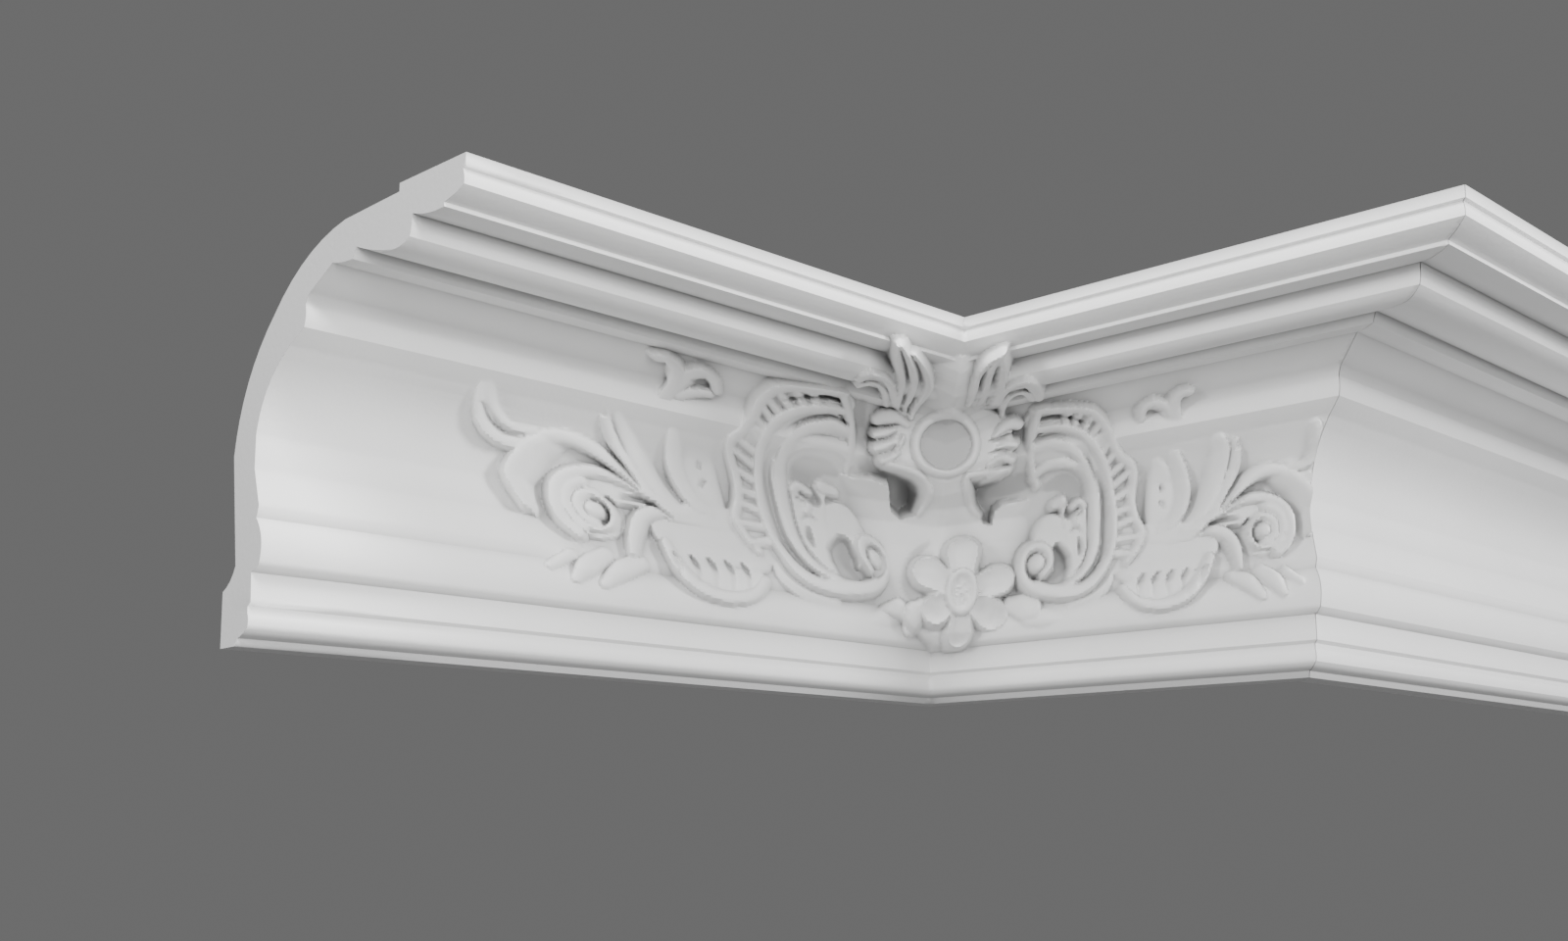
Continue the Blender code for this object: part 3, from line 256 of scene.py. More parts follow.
# rosette arcs: radius at the start and end, first and last angle, half width, height
ROSETTE_ARCS = (
    (5.2, 11.5, 100, 450, 1.7, 8.8), (5.2, 7.0, -80, 110, 1.6, 9.2), (0.5, 0.5, 0, 180, 2.8, 10.4),
)
ROSETTE_GAPS = ((8.2, 9.4, 130, 290, 1.2, 4.5), (4.4, 4.4, 90, 250, 1.3, 5.0))
# half width and rise of a comb rib on the ridge, between and on the lip
RIB_SHAPE = ((2.0, 8.0), (1.8, 8.8), (1.4, 9.8))

# fall from a stroke's crown to its edge: share of its half width, and the widest that counts
CUT_DROPS = {
    Cut.ROUND: (0.75, 4), Cut.ROOF: (0.6, 5), Cut.CUP: (0.52, 5), Cut.BLADE: (0.25, 3),
    Cut.FLAT: (0.25, 3),
}
# curves of a dished and of a flat crown and of a cut's depth, and the least half width
CUP_POWER = 2.5
FLAT_POWER = 4
DEPTH_POWER = 1.2
LEAST_WIDTH = 0.3
# gentle side of a blade: its reach in half widths and its curve
BLADE_REACH = 4.0
BLADE_POWER = 1.5
# steepness of a stroke's wall, and how much gentler it is on the outward side
WALL_SLOPE = 4.4
WALL_EASE = 2.0
# steepness of the wall round the neck's plate and round the medallion
PLATE_SLOPE = 3.2
# how far beyond its width a stroke is worked out, where it is raised and where it is cut
RAISE_MARGIN = 12.0
CUT_MARGIN = 4.0
# rise of a form where it doesn't reach
NOWHERE = -50.0

# reach of the painted shade in hollows and the depth that shades them fully, wide and fine
HOLLOW_WIDE = 8.0
HOLLOW_WIDE_FULL = 9.0
HOLLOW_FINE = 2.0
HOLLOW_FINE_FULL = 8.0
# how many times its reach a softening is worked out
SPREAD_WIDTH = 2.5
# painted shade in the scroll's deep hollows, in the wing's drawing, and in the valleys beside the
# neck
SCROLL_SHADES = (
    ((74, 103, 4.0, 1.2), (81, 104, 6.0, 1.5), (88, 99.5, 6.6, 1.5), (90.5, 93, 5.2, 1.4),
     (86.5, 87.5, 3.4, 1.0)),
    ((80, 70.5, 3.2, 1.2), (82.2, 65, 5.0, 1.5), (81.5, 58.8, 4.4, 1.5), (77, 55.5, 2.4, 1.2)),
)
VALLEY_SHADES = (
    ((34, 105, 5, 1.2), (46, 107, 7, 1.5), (58, 108, 7, 1.4), (68, 109, 4, 0.8)),
    ((-56, 158, 4, 1.0), (-58, 145, 6, 1.4), (-58, 128, 7, 1.4), (-52, 116, 6, 1.3)),
    ((-6, 80, 2.5, 0.7), (-16, 72, 4, 1.3), (-22, 60, 4, 1.4), (-15, 48, 4, 1.2), (-8, 40, 2, 0.7)),
)
VALLEY_SHADE = 0.75
# how far below its surroundings a valley's place lies where its painted shade starts and is full
VALLEY_FROM = -1.0
VALLEY_RANGE = 3.0
# painted shade on the toe under the bottom bead, on the medallion's disc and on the two cut ends
TOE_TOP = -144.6
TOE_FADE = 1.5
TOE_SHADE = 0.9
DISC_SHADE = 0.75
CUT_SHADE = 0.95
# middle of the part's length and nearly half of it, in metres, for telling the cut ends
LENGTH_MIDDLE = 0.08825
LENGTH_HALF = 0.36245

# sockets of the paint's node group, which mixes in painted shade, and its noises: clouds and a fine
# grain
TONE_AND_SHADE_SOCKETS = (
    ("INPUT", "Vector", "Place"), ("INPUT", "Color", "Light Colour"),
    ("INPUT", "Color", "Shade Colour"), ("INPUT", "Color", "Painted Shade Colour"),
    ("INPUT", "Float", "Painted Shade"), ("INPUT", "Float", "Roughness"),
    ("OUTPUT", "Color", "Colour"), ("OUTPUT", "Float", "Roughness"),
    ("OUTPUT", "Float", "Height"),
)
CLOUD = {"Scale": 14.0, "Detail": 4.0}
CLOUD_RANGE = {"From Min": 0.38, "From Max": 0.66}
GRAIN = {"Scale": 420.0, "Detail": 3.0}
GRAIN_ROUGH = 0.12
# arris angle that stays crisp on each piece, in degrees
CAST_ARRIS = 38.0
PLAIN_ARRIS = 20.0

# the left wing is the same drawing, stretched and leaned to the left
LEFT_FROM = (-24.0, 33.0, 54.7, 87.3, 116.0, 134.6, 162.4, 194.4, 255.8, 319.0)
LEFT_TO = (0.0, 55.0, 75.0, 95.0, 115.0, 130.0, 150.0, 175.0, 215.0, 260.0)
LEFT_RAISE = 0.5
LEFT_STRETCH = 1.08
LEFT_LEAN_S = (35, 60, 80, 105, 130, 150)
LEFT_LEAN_A = (0, 3.3, 11.2, 21.3, 28.1, 33.6)
# sideways nudge of the left volute: its most, its middle and its reach
NUDGE = 7.0
NUDGE_MIDDLE = (50.0, 63.0)
NUDGE_REACH = (24.0, 15.0)

# middle of the ornament, on the leaning face: signed distance from mitre, height on guide
PLATE = (
    (-13, 95), (-9.5, 103), (-8, 109), (-11, 116), (-18, 120.5), (-36, 121), (-41, 120),
    (-46, 126), (-46, 136), (-44, 147), (-37, 156), (-32, 160), (-28, 166), (-24, 176),
    (-24, 204), (-16, 222), (-8, 232), (6, 232), (10, 222), (12, 205), (13, 185), (20, 166),
    (33, 156), (43, 149), (45, 140), (46, 128), (42, 114), (34, 115.5), (20, 116),
    (14.5, 120), (15, 113), (18, 105), (23, 98), (30, 91), (33, 88), (20, 88), (-10, 90),
)
BELLY_TOP_A = (-130, -62, -48, -36, -33, -26, -18, -11, 16, 22, 30, 38, 40, 44, 68, 110)
BELLY_TOP_S = (118, 109, 110, 108, 95, 91, 94, 97, 97, 93, 89, 87, 94, 97, 98, 108)
BELLY_FOOT_A = (-130, -60, -26, -8, 6, 30, 52, 70, 110)
BELLY_FOOT_S = (50, 48, 42, 33, 29, 30, 40, 46, 50)
FAN_LEAVES = (
    ((-27, 151, 2.6, 2), (-34, 153.5, 4.2, 4), (-41, 151.0, 4.6, 4.6), (-47, 147, 3.4, 4.6)),
    ((-34, 145, 1.6, 2.0), (-41, 140.5, 2.0, 3.6), (-47.5, 137.5, 1.8, 4.8)),
    ((-33, 138, 1.6, 2.0), (-41, 132.5, 2.2, 3.6), (-47.5, 129, 2.0, 4.8)),
    ((-31, 131, 1.6, 2.0), (-37, 125.5, 2.0, 3.4), (-43, 122.3, 1.8, 4.4)),
    ((-28.5, 142, 1.1, 3.8), (-30, 137.5, 1.2, 3.8), (-33, 131, 1.0, 3.2)),
    ((33, 141, 1.5, 3), (38, 144.8, 3.4, 4.6), (44, 146.0, 3.8, 4.8), (49, 143.0, 2.8, 4.6)),
    ((36, 133, 1.6, 2.0), (42, 133.5, 2.2, 3.6), (47, 131.5, 1.8, 4.8)),
    ((29.5, 122.5, 1.6, 2.0), (37.5, 126, 2.2, 3.6), (45, 122.5, 2.0, 4.8)),
    ((30, 115.5, 1.8, 2.4), (37, 116.2, 2.0, 3.4), (43.5, 117, 1.8, 4.4)),
)
FAN_SLITS = (
    ((-31, 148.8, 1.0, 1.0), (-39, 144.6, 1.3, 2.6), (-48, 142, 1.0, 2.2)),
    ((-33, 142, 1.0, 1.0), (-40, 136.6, 1.3, 2.4), (-49, 133, 1.0, 2.2)),
    ((-31, 134.8, 1.0, 1.0), (-38, 129, 1.3, 2.4), (-46, 125.5, 1.0, 2)),
    ((29.5, 138.5, 1.0, 1.5), (36, 137.8, 1.5, 3.4), (42, 138.5, 1.3, 3), (50, 137.5, 1.0, 2)),
    ((30, 130, 1.0, 1.5), (37, 130.5, 1.4, 2.6), (46, 127, 1.1, 2.2)),
    ((31, 119, 1.0, 1.0), (38, 120.5, 1.2, 2.2), (46, 119.5, 1.0, 2)),
)
CROWN_LEAVES = (
    ((-33, 161, 1.8, 3), (-34.5, 179, 2.4, 5.5), (-36, 197, 2.6, 7), (-40.5, 213, 2.0, 7),
     (-42.5, 229, 1.2, 6)),
    ((-28, 162, 1.8, 3), (-27.5, 184, 2.6, 6), (-29, 201.5, 2.8, 7.5), (-34, 217.5, 2.4, 7.5),
     (-41, 230, 1.4, 6.5)),
    ((-24, 157, 1.6, 3), (-21.5, 172, 2.0, 5.5), (-19, 190, 2.2, 7), (-19.5, 204, 2.2, 7.5),
     (-25, 216, 2.0, 7), (-32, 225, 1.4, 6)),
    ((11.5, 179, 1.6, 3), (10.2, 197, 2.2, 5.5), (10.5, 214, 2.2, 7), (14, 226, 2.0, 7),
     (20, 231, 1.2, 6)),
    ((20, 172, 1.6, 3), (18.5, 190, 2.2, 5.5), (16.5, 206, 2.4, 7), (16.5, 219, 2.2, 7.5),
     (19, 230, 1.4, 6.5)),
    ((29.5, 166, 1.8, 3), (28.5, 179, 2.2, 6), (25.5, 199.5, 2.4, 7), (23, 215.5, 2.2, 7.5),
     (19.5, 230, 1.2, 6.5)),
)
CROWN_FIELDS = (
    ((-30, 162, 6, 1.5), (-29, 182, 9.5, 3), (-30, 201, 10.5, 4), (-35, 217, 6.5, 4),
     (-41, 228, 2, 4)),
    ((22, 172, 6, 1.5), (19.5, 190, 9, 3), (17.5, 208, 8, 4), (18.5, 222, 4, 4)),
)
CROWN_SLITS = (
    ((-30.5, 160, 1.2, 2), (-31, 179.5, 1.6, 5), (-32.3, 199, 1.6, 5), (-36.5, 215, 1.2, 3.5),
     (-41, 226, 0.8, 1.5)),
    ((-25.5, 160, 1.2, 2), (-23.5, 184, 1.8, 5.5), (-24, 203, 1.7, 5), (-30, 219, 1.1, 2.5)),
    ((15, 182, 1.2, 1.5), (14, 200, 1.4, 4), (13.3, 216, 1.2, 3)),
    ((24.5, 172, 1.2, 2), (23, 190, 1.5, 4), (21, 206, 1.4, 4), (20, 220, 1.0, 2)),
)
CROWN_CURLS = (
    ((-35, 162, 2.0, 3), (-38.5, 176, 2.4, 6), (-42.5, 188, 2.8, 8), (-49, 195, 2.8, 9),
     (-57, 194, 2.6, 9), (-63, 184, 2.0, 8)),
    ((-41, 160, 1.6, 3), (-44, 175, 2.0, 6), (-50.5, 185, 2.2, 7), (-58, 182, 2.0, 7),
     (-62.5, 175.5, 1.4, 6)),
    ((33, 165, 2.0, 3), (30.5, 178, 2.4, 6), (31.5, 190, 2.6, 8), (37.5, 195, 2.8, 9),
     (45, 187.5, 2.8, 9), (52, 173, 2.4, 8), (56.5, 162, 1.8, 7)),
    ((37.5, 153.5, 1.4, 3), (36, 167, 1.8, 5), (37, 177.5, 2.0, 6.5), (41.5, 179, 2.0, 6.5),
     (47, 173.5, 1.8, 6), (53, 162, 1.4, 5)),
)
NECK_RIMS = (
    ((-39, 121.5, 2.0, 3), (-28, 121.5, 2.2, 3.6), (-18, 119.8, 2.2, 3.8),
     (-11.5, 115, 2.2, 3.8), (-9, 108, 2.2, 3.8), (-10.5, 102, 2.0, 3.4), (-14, 96, 1.8, 2.4)),
    ((36, 117, 1.8, 3), (22, 118.8, 2.0, 3.8), (15, 119, 2.0, 3.8), (15.5, 113, 2.0, 3.8),
     (18, 106, 1.8, 3.4), (22, 99, 1.6, 2.8), (28, 93, 1.4, 1.8)),
)
BUDS = (
    ((-11, 47, 4, 7), (-16, 42.5, 7, 8.5), (-18, 38, 5.5, 8)),
    ((-27, 44, 6.5, 5.5), (-37, 41, 6, 4.5), (-47, 38, 3.5, 3)),
    ((50, 46, 4, 6.5), (57, 44, 6.5, 7.5), (64, 43, 5.5, 7)),
    ((60, 38.5, 4.5, 5), (70, 38, 5, 5), (79, 37, 3, 3.5)),
)
# petals: reach, angle and half width; then places along a petal and its width there, as shares
PETALS = (
    (27.5, 90, 7.6), (27, 150, 7.2), (21.6, 214, 6.9), (26.6, 270, 5.8), (27, 322, 7.2),
    (26, 14, 6.9),
)
PETAL_SHAPE = ((0.2, 0.62), (0.6, 0.8), (0.9, 1.0), (1.0, 1.0))


@dataclass(frozen=True)
class Stroke:
    """One carving stroke: a smooth path with a half width and a rise or depth at each point."""

    points: Path
    cut: Cut = Cut.ROUND

    def line(self, step: float = 2.2) -> np.ndarray:
        """Smooth curve through the stroke's points.

        Args:
            step: distance between the curve's points.

        Returns:
            Rows of place, half width and rise.
        """
        pts = np.asarray(self.points, float)
        ends = np.vstack([2 * pts[0] - pts[1], pts, 2 * pts[-1] - pts[-2]])
        rows = []
        for i in range(1, len(ends) - 2):
            p0, p1, p2, p3 = ends[i - 1:i + 3]
            count = max(2, int(np.hypot(*(p2 - p1)[:2]) / step))
            for k in range(count):
                t = k / count
                rows.append(0.5 * (2 * p1 + (p2 - p0) * t
                                   + (2 * p0 - 5 * p1 + 4 * p2 - p3) * t * t
                                   + (3 * p1 - p0 - 3 * p2 + p3) * t ** 3))
        rows.append(pts[-1])
        return np.array(rows)

    def near(self, x: np.ndarray, y: np.ndarray, margin: float) -> np.ndarray:
        """Mask of the places that lie near the stroke.

        Args:
            x: places along the run.
            y: places up the guide line.
            margin: reach beyond the stroke's own width.

        Returns:
            True for each place within reach.
        """
        pts = np.asarray(self.points, float)
        low = pts[:, :2].min(axis=0) - pts[:, 2].max() - margin
        high = pts[:, :2].max(axis=0) + pts[:, 2].max() + margin
        return (x > low[0]) & (x < high[0]) & (y > low[1]) & (y < high[1])

    def rise(self, x: np.ndarray, y: np.ndarray) -> np.ndarray:
        """Rise of the stroke over its ground, falling away steeply beyond its edge.

        Args:
            x: places along the run.
            y: places up the guide line.

        Returns:
            Rise at each place.
        """
        line = self.line()
        reach, side, place, away = nearest(x, y, line)
        width = np.maximum(along(line, place, 2), LEAST_WIDTH)
        rise = along(line, place, 3)
        r = np.clip(reach / width, 0, 1)
        if self.cut is Cut.ROUND:
            curve = 1 - np.sqrt(1 - r * r)
        elif self.cut is Cut.ROOF:
            curve = r
        elif self.cut is Cut.CUP:
            curve = 1 - r ** CUP_POWER
        else:
            curve = r ** FLAT_POWER
        share, widest = CUT_DROPS[self.cut]
        drop = share * np.minimum(width, widest) * curve
        wall = (WALL_SLOPE - WALL_EASE * np.clip(away, 0, 1)) * np.maximum(0, reach - width)
        if self.cut is Cut.BLADE:
            gentle = rise * (reach / (BLADE_REACH * width)) ** BLADE_POWER
            return rise - np.where(side < 0, gentle, drop + wall)
        return rise - drop - wall

    def depth(self, x: np.ndarray, y: np.ndarray) -> np.ndarray:
        """Depth of the stroke where it is cut in.

        Args:
            x: places along the run.
            y: places up the guide line.

        Returns:
            Depth at each place.
        """
        line = self.line()
        reach, _, place, _ = nearest(x, y, line)
        width = np.maximum(along(line, place, 2), LEAST_WIDTH)
        r = np.clip(reach / width, 0, 1)
        return along(line, place, 3) * (1 - r * r) ** DEPTH_POWER


def nearest(x: np.ndarray, y: np.ndarray, line: np.ndarray) -> tuple[np.ndarray, ...]:
    """Nearest point of a line to each place.

    Args:
        x: places along the run.
        y: places up the guide line.
        line: rows that begin with a place.

    Returns:
        Distance, side, place along the line, and the outward share of the way to it.
    """
    best = np.full(x.shape, 1e9)
    place = np.zeros(x.shape)
    side = np.zeros(x.shape)
    away = np.zeros(x.shape)
    for i in range(len(line) - 1):
        x0, y0 = line[i, :2]
        dx, dy = line[i + 1, :2] - line[i, :2]
        t = np.clip(((x - x0) * dx + (y - y0) * dy) / (dx * dx + dy * dy + 1e-9), 0, 1)
        ex = x - x0 - t * dx
        ey = y - y0 - t * dy
        square = ex * ex + ey * ey
        closer = square < best
        best = np.where(closer, square, best)
        place = np.where(closer, i + t, place)
        side = np.where(closer, dx * ey - dy * ex, side)
        away = np.where(closer, ex, away)
    reach = np.sqrt(best)
    return reach, np.sign(side), place, away / (reach + 1e-6)


def along(line: np.ndarray, place: np.ndarray, column: int) -> np.ndarray:
    """Value of one column of a line at places along it.

    Args:
        line: the line's rows.
        place: places along the line, in rows.
        column: the column wanted.

    Returns:
        The column's value at each place.
    """
    i = np.clip(place.astype(int), 0, len(line) - 2)
    f = place - i
    return line[i, column] * (1 - f) + line[i + 1, column] * f


@dataclass(frozen=True)
class Guide:
    """Smooth line up the section that carries the ornament, and the way it leans."""

    cove_p: float = 18.0
    cove_z: float = -78.0
    radius: float = 64.0
    lean_foot: float = 5.0
    lean_head: float = 30.0
    length: float = 290.0
    step: float = 0.05

    def at(self, s: np.ndarray) -> tuple[np.ndarray, ...]:
        """Point and lean direction at each length up from the wall foot.

        Args:
            s: lengths along the guide line.

        Returns:
            Distance from wall, height, and the lean's outward and upward shares.
        """
        s = np.asarray(s, float)
        turn = np.clip((s - (HEIGHT + self.cove_z)) / self.radius, 0, math.pi / 2)
        past = np.maximum(0, s - (HEIGHT + self.cove_z) - self.radius * math.pi / 2)
        p = self.cove_p + self.radius * (1 - np.cos(turn)) + past
        z = np.where(turn > 0, self.cove_z + self.radius * np.sin(turn), s - HEIGHT)
        lean = np.radians(self.lean_foot + self.lean_head * turn / (math.pi / 2))
        return p, z, np.cos(lean), -np.sin(lean)

    def facing(self, a: np.ndarray, s: np.ndarray) -> np.ndarray:
        """Rise of the leaning face that looks out along the mitre."""
        p, _, out, _ = self.at(s)
        return (np.interp(s, FACE_S, FACE_P) - np.abs(a) / 2 - p) / out

    def under(self, points: np.ndarray) -> tuple[np.ndarray, np.ndarray]:
        """Place of section points on the guide line.

        Args:
            points: distances from wall and heights.

        Returns:
            Length along the guide line and height over it for each point.
        """
        s = np.arange(0.0, self.length, self.step)
        p, z, out, down = self.at(s)
        lengths = []
        heights = []
        for point in points:
            cross = (point[0] - p) * down - (point[1] - z) * out
            turns = np.nonzero(np.sign(cross[:-1]) != np.sign(cross[1:]))[0]
            if len(turns) == 0:
                turns = np.array([int(np.argmin(np.abs(cross)))])
            rise = (point[0] - p[turns]) * out[turns] + (point[1] - z[turns]) * down[turns]
            k = int(np.argmin(np.abs(rise)))
            lengths.append(s[turns[k]])
            heights.append(rise[k])
        return np.array(lengths), np.array(heights)


@dataclass
class Panel:
    """A patch of relief being carved: places, the ground under it and the rise so far."""

    x: np.ndarray
    y: np.ndarray
    ground: np.ndarray
    rise: np.ndarray

    def add(self, *paths: Path, shape: Cut = Cut.ROUND) -> None:
        """Raise strokes from the ground.

        Args:
            paths: the strokes' paths.
            shape: their cross section.
        """
        for stroke in (Stroke(path, shape) for path in paths):
            near = stroke.near(self.x, self.y, RAISE_MARGIN)
            if near.any():
                top = self.ground[near] + stroke.rise(self.x[near], self.y[near])
                self.rise[near] = np.maximum(self.rise[near], top)

    def cut(self, *paths: Path) -> None:
        """Cut strokes into what is raised.

        Args:
            paths: the strokes' paths.
        """
        for stroke in map(Stroke, paths):
            near = stroke.near(self.x, self.y, CUT_MARGIN)
            if near.any():
                self.rise[near] -= stroke.depth(self.x[near], self.y[near])


@dataclass(frozen=True)
class Scroll:
    """C scroll with its combed rim, hook, hollows and volute."""

    rib_count: int = 16
    rib_start: float = 0.14
    ridge_start: float = 0.02
    ridge_share: float = 0.68
    rim_step: float = 2.0
    web_steps: int = 8
    web_half: float = 2.0
    web_rise: float = 4.6

    def rib_ends(self, share: float) -> tuple[np.ndarray, np.ndarray]:
        """Ends of one rib of the comb.

        Args:
            share: place of the rib along the rim, 0 to 1.

        Returns:
            Point on the ridge and point on the lip.
        """
        lip = Stroke(LIP).line(self.rim_step)
        ridge = Stroke(RIDGE).line(self.rim_step)
        outer = lip[int(share * (len(lip) - 1))]
        inner = ridge[int((self.ridge_start + share * self.ridge_share) * (len(ridge) - 1))]
        return inner, outer

    def carve(self, panel: Panel) -> None:
        """Carve the scroll.

        Args:
            panel: the panel it is carved into.
        """
        shares = [(k + 0.5) / self.rib_count for k in range(self.rib_count)]
        ribs = [self.rib(share) for share in shares if share > self.rib_start]
        panel.add(*SCROLL_FIELDS, self.web(), shape=Cut.FLAT)
        panel.add(*SCROLL_ROLLS, RIDGE, *ribs, LIP, HOOK_EDGE)
        panel.cut(*SCROLL_GROOVES, SCROLL_HOLLOW)
        panel.add(*SCROLL_BITS, VOLUTE, VOLUTE_EYE)
        panel.cut(VOLUTE_HOLLOW)

    def web(self) -> Path:
        """Path of the web between ridge and lip.

        Returns:
            The path.
        """
        path = []
        for k in range(self.web_steps + 1):
            inner, outer = self.rib_ends(k / self.web_steps)
            middle = (inner + outer) / 2
            half = np.hypot(*(inner - outer)[:2]) / 2
            path.append((middle[0], middle[1], max(half, self.web_half), self.web_rise))
        return tuple(path)

    def rib(self, share: float) -> Path:
        """Path of one rib of the comb.

        Args:
            share: place of the rib along the rim, 0 to 1.

        Returns:
            The path.
        """
        inner, outer = self.rib_ends(share)
        points = (inner, (inner + outer) / 2, outer)
        return tuple((point[0], point[1], *shape) for point, shape in zip(points, RIB_SHAPE))


@dataclass(frozen=True)
class Spray:
    """Leaf spray beyond a scroll, with its rosette and its fluted shell."""

    flutes: int = 5
    flute_foot: float = 126.0
    flute_pitch: float = 7.8
    rosette: tuple[float, float] = (190.0, 65.5)
    ring_step: int = 20

    def carve(self, panel: Panel) -> None:
        """Carve the spray with its shell and the rosette's petals, eye and dark gaps.

        Args:
            panel: the panel it is carved into.
        """
        panel.add(*SPRAY_FIELDS, shape=Cut.FLAT)
        panel.add(*SPRAY_BLADES, shape=Cut.BLADE)
        panel.add(*SPRAY_LEAVES)
        panel.add(*SPRAY_ROOFS, shape=Cut.ROOF)
        panel.cut(*SPRAY_GROOVES)
        for k in range(self.flutes):
            foot = self.flute_foot + self.flute_pitch * k
            panel.cut(tuple((foot + across, *rest) for across, *rest in SHELL_FLUTE))
        panel.add(*(self.ring(*arc) for arc in ROSETTE_ARCS))
        panel.cut(*(self.ring(*gap) for gap in ROSETTE_GAPS))

    def ring(self, start: float, end: float, first: float, last: float, width: float,
             height: float) -> Path:
        """Path of an arc round the rosette's eye.

        Args:
            start: radius where the arc starts.
            end: radius where it ends.
            first: angle where it starts, in degrees.
            last: angle where it ends.
            width: half width of the stroke.
            height: its rise or depth.

        Returns:
            The path.
        """
        cx, cy = self.rosette
        path = []
        for angle in range(int(first), int(last) + 1, self.ring_step):
            radius = start + (end - start) * (angle - first) / (last - first)
            t = math.radians(angle)
            path.append((cx + radius * math.cos(t), cy + radius * math.sin(t), width, height))
        return tuple(path)


@dataclass(frozen=True)
class Wings:
    """The two wings: one drawing, stretched and leaned on the left run."""

    scroll: Scroll = Scroll()
    spray: Spray = Spray()

    def place(self, a: np.ndarray, s: np.ndarray) -> tuple[np.ndarray, np.ndarray]:
        """Place on the right wing's drawing for a place on either wing.

        Args:
            a: signed distances from the mitre.
            s: lengths along the guide line.

        Returns:
            Distance from mitre and height on the drawing.
        """
        left = a < 0
        height = np.where(left, (s + LEFT_RAISE) / LEFT_STRETCH, s)
        lean = np.interp(height, LEFT_LEAN_S, LEFT_LEAN_A)
        across = (-a - NUDGE_MIDDLE[0]) / NUDGE_REACH[0]
        up = (height - NUDGE_MIDDLE[1]) / NUDGE_REACH[1]
        nudge = NUDGE * np.exp(-(across ** 2 + up ** 2))
        out = np.interp(-a - lean + nudge, LEFT_FROM, LEFT_TO)
        return np.where(left, out, a), height

    def rise(self, a: np.ndarray, s: np.ndarray) -> np.ndarray:
        """Rise of both wings.

        Args:
            a: signed distances from the mitre.
            s: lengths along the guide line.

        Returns:
            Rise over the guide line.
        """
        x, y = self.place(a, s)
        panel = Panel(x, y, np.interp(y, LIFT_S, LIFT_H), np.full(a.shape, NOWHERE))
        self.scroll.carve(panel)
        self.spray.carve(panel)
        return panel.rise


@dataclass(frozen=True)
class Flower:
    """Six petalled flower with a dished eye, cut like a flat plate with turned up edges."""

    centre: tuple[float, float] = (11.3, 53.5)
    lift: float = 10.0
    eye: tuple[float, float] = (6.4, 9.4)
    eye_sunk: float = 1.2
    eye_dish: float = 1.6
    rim: float = 0.22
    rim_rise: float = 1.3

    def carve(self, panel: Panel) -> None:
        """Carve the flower.

        Args:
            panel: the panel it is carved into, as wide as the corner is seen along its mitre.
        """
        cx, cy = self.centre
        for reach, angle, width in PETALS:
            ux = math.cos(math.radians(angle))
            uy = math.sin(math.radians(angle))
            petal = []
            for share, part in PETAL_SHAPE:
                out = (reach - width) * share
                petal.append((cx + out * ux, cy + out * uy, width * part, self.lift))
            panel.add(tuple(petal), shape=Cut.CUP)
        oval = np.hypot((panel.x - cx) / self.eye[0], (panel.y - cy) / self.eye[1])
        edge = np.sqrt(np.maximum(0, 1 - ((oval - 1) / self.rim) ** 2))
        dish = self.lift - self.eye_sunk + self.eye_dish * np.clip(oval, 0, 1) ** 2
        eye = np.where(oval < 1 + self.rim, dish + self.rim_rise * edge, NOWHERE)
        panel.rise[...] = np.maximum(panel.rise, panel.ground + eye)


@dataclass(frozen=True)
class Medallion:
    """Round boss with a raised ring, a true circle seen along the mitre from a little below."""

    height: float = -35.0
    middle: float = 88.0
    view_slope: float = 0.32
    radius: float = 14.3
    ring: float = 2.2
    disc_rise: float = 1.2
    ring_rise: float = 3.4
    ring_core: float = 0.6
    # half width, foot and head of the patch the boss is worked out in
    window: tuple[float, float, float] = (35.0, 108.0, 195.0)

    def rise(self, guide: Guide, a: np.ndarray, s: np.ndarray, face: np.ndarray) -> np.ndarray:
        """Rise of the boss.

        Args:
            guide: the guide line.
            a: signed distances from the mitre.
            s: lengths along the guide line.
            face: rise of the leaning face.

        Returns:
            Rise over the guide line, far below it outside the boss.
        """
        r = self.from_middle(guide, a, s, face)
        ring = np.sqrt(np.maximum(0, 1 - ((r - self.radius) / self.ring) ** 2))
        disc = self.disc_rise + np.where(r < self.radius + self.ring, self.ring_rise * ring,
                                         -PLATE_SLOPE * (r - self.radius - self.ring))
        return np.where(self.near(a, s), face + disc, NOWHERE)

    def near(self, a: np.ndarray, s: np.ndarray) -> np.ndarray:
        """Mask of the places in the boss's window."""
        side, foot, head = self.window
        return (np.abs(a) < side) & (s > foot) & (s < head)

    def from_middle(self, guide: Guide, a: np.ndarray, s: np.ndarray,
                    face: np.ndarray) -> np.ndarray:
        """Distance from the boss's middle as it is seen along the mitre.

        Args:
            guide: the guide line.
            a: signed distances from the mitre.
            s: lengths along the guide line.
            face: rise of the leaning face.

        Returns:
            The distances.
        """
        _, z, _, down = guide.at(s)
        forward = self.view_slope * (np.interp(s, FACE_S, FACE_P) - self.middle)
        return np.hypot(a / math.sqrt(2), z + face * down - self.height + forward)

    def disc_shade(self, guide: Guide, a: np.ndarray, s: np.ndarray) -> np.ndarray:
        """Painted shade on the disc inside the ring.

        Args:
            guide: the guide line.
            a: signed distances from the mitre.
            s: lengths along the guide line.

        Returns:
            DISC_SHADE on the disc, nothing elsewhere.
        """
        edge = self.radius - self.ring_core * self.ring
        inside = np.clip(edge - self.from_middle(guide, a, s, guide.facing(a, s)), 0, 1)
        return DISC_SHADE * inside * self.near(a, s)


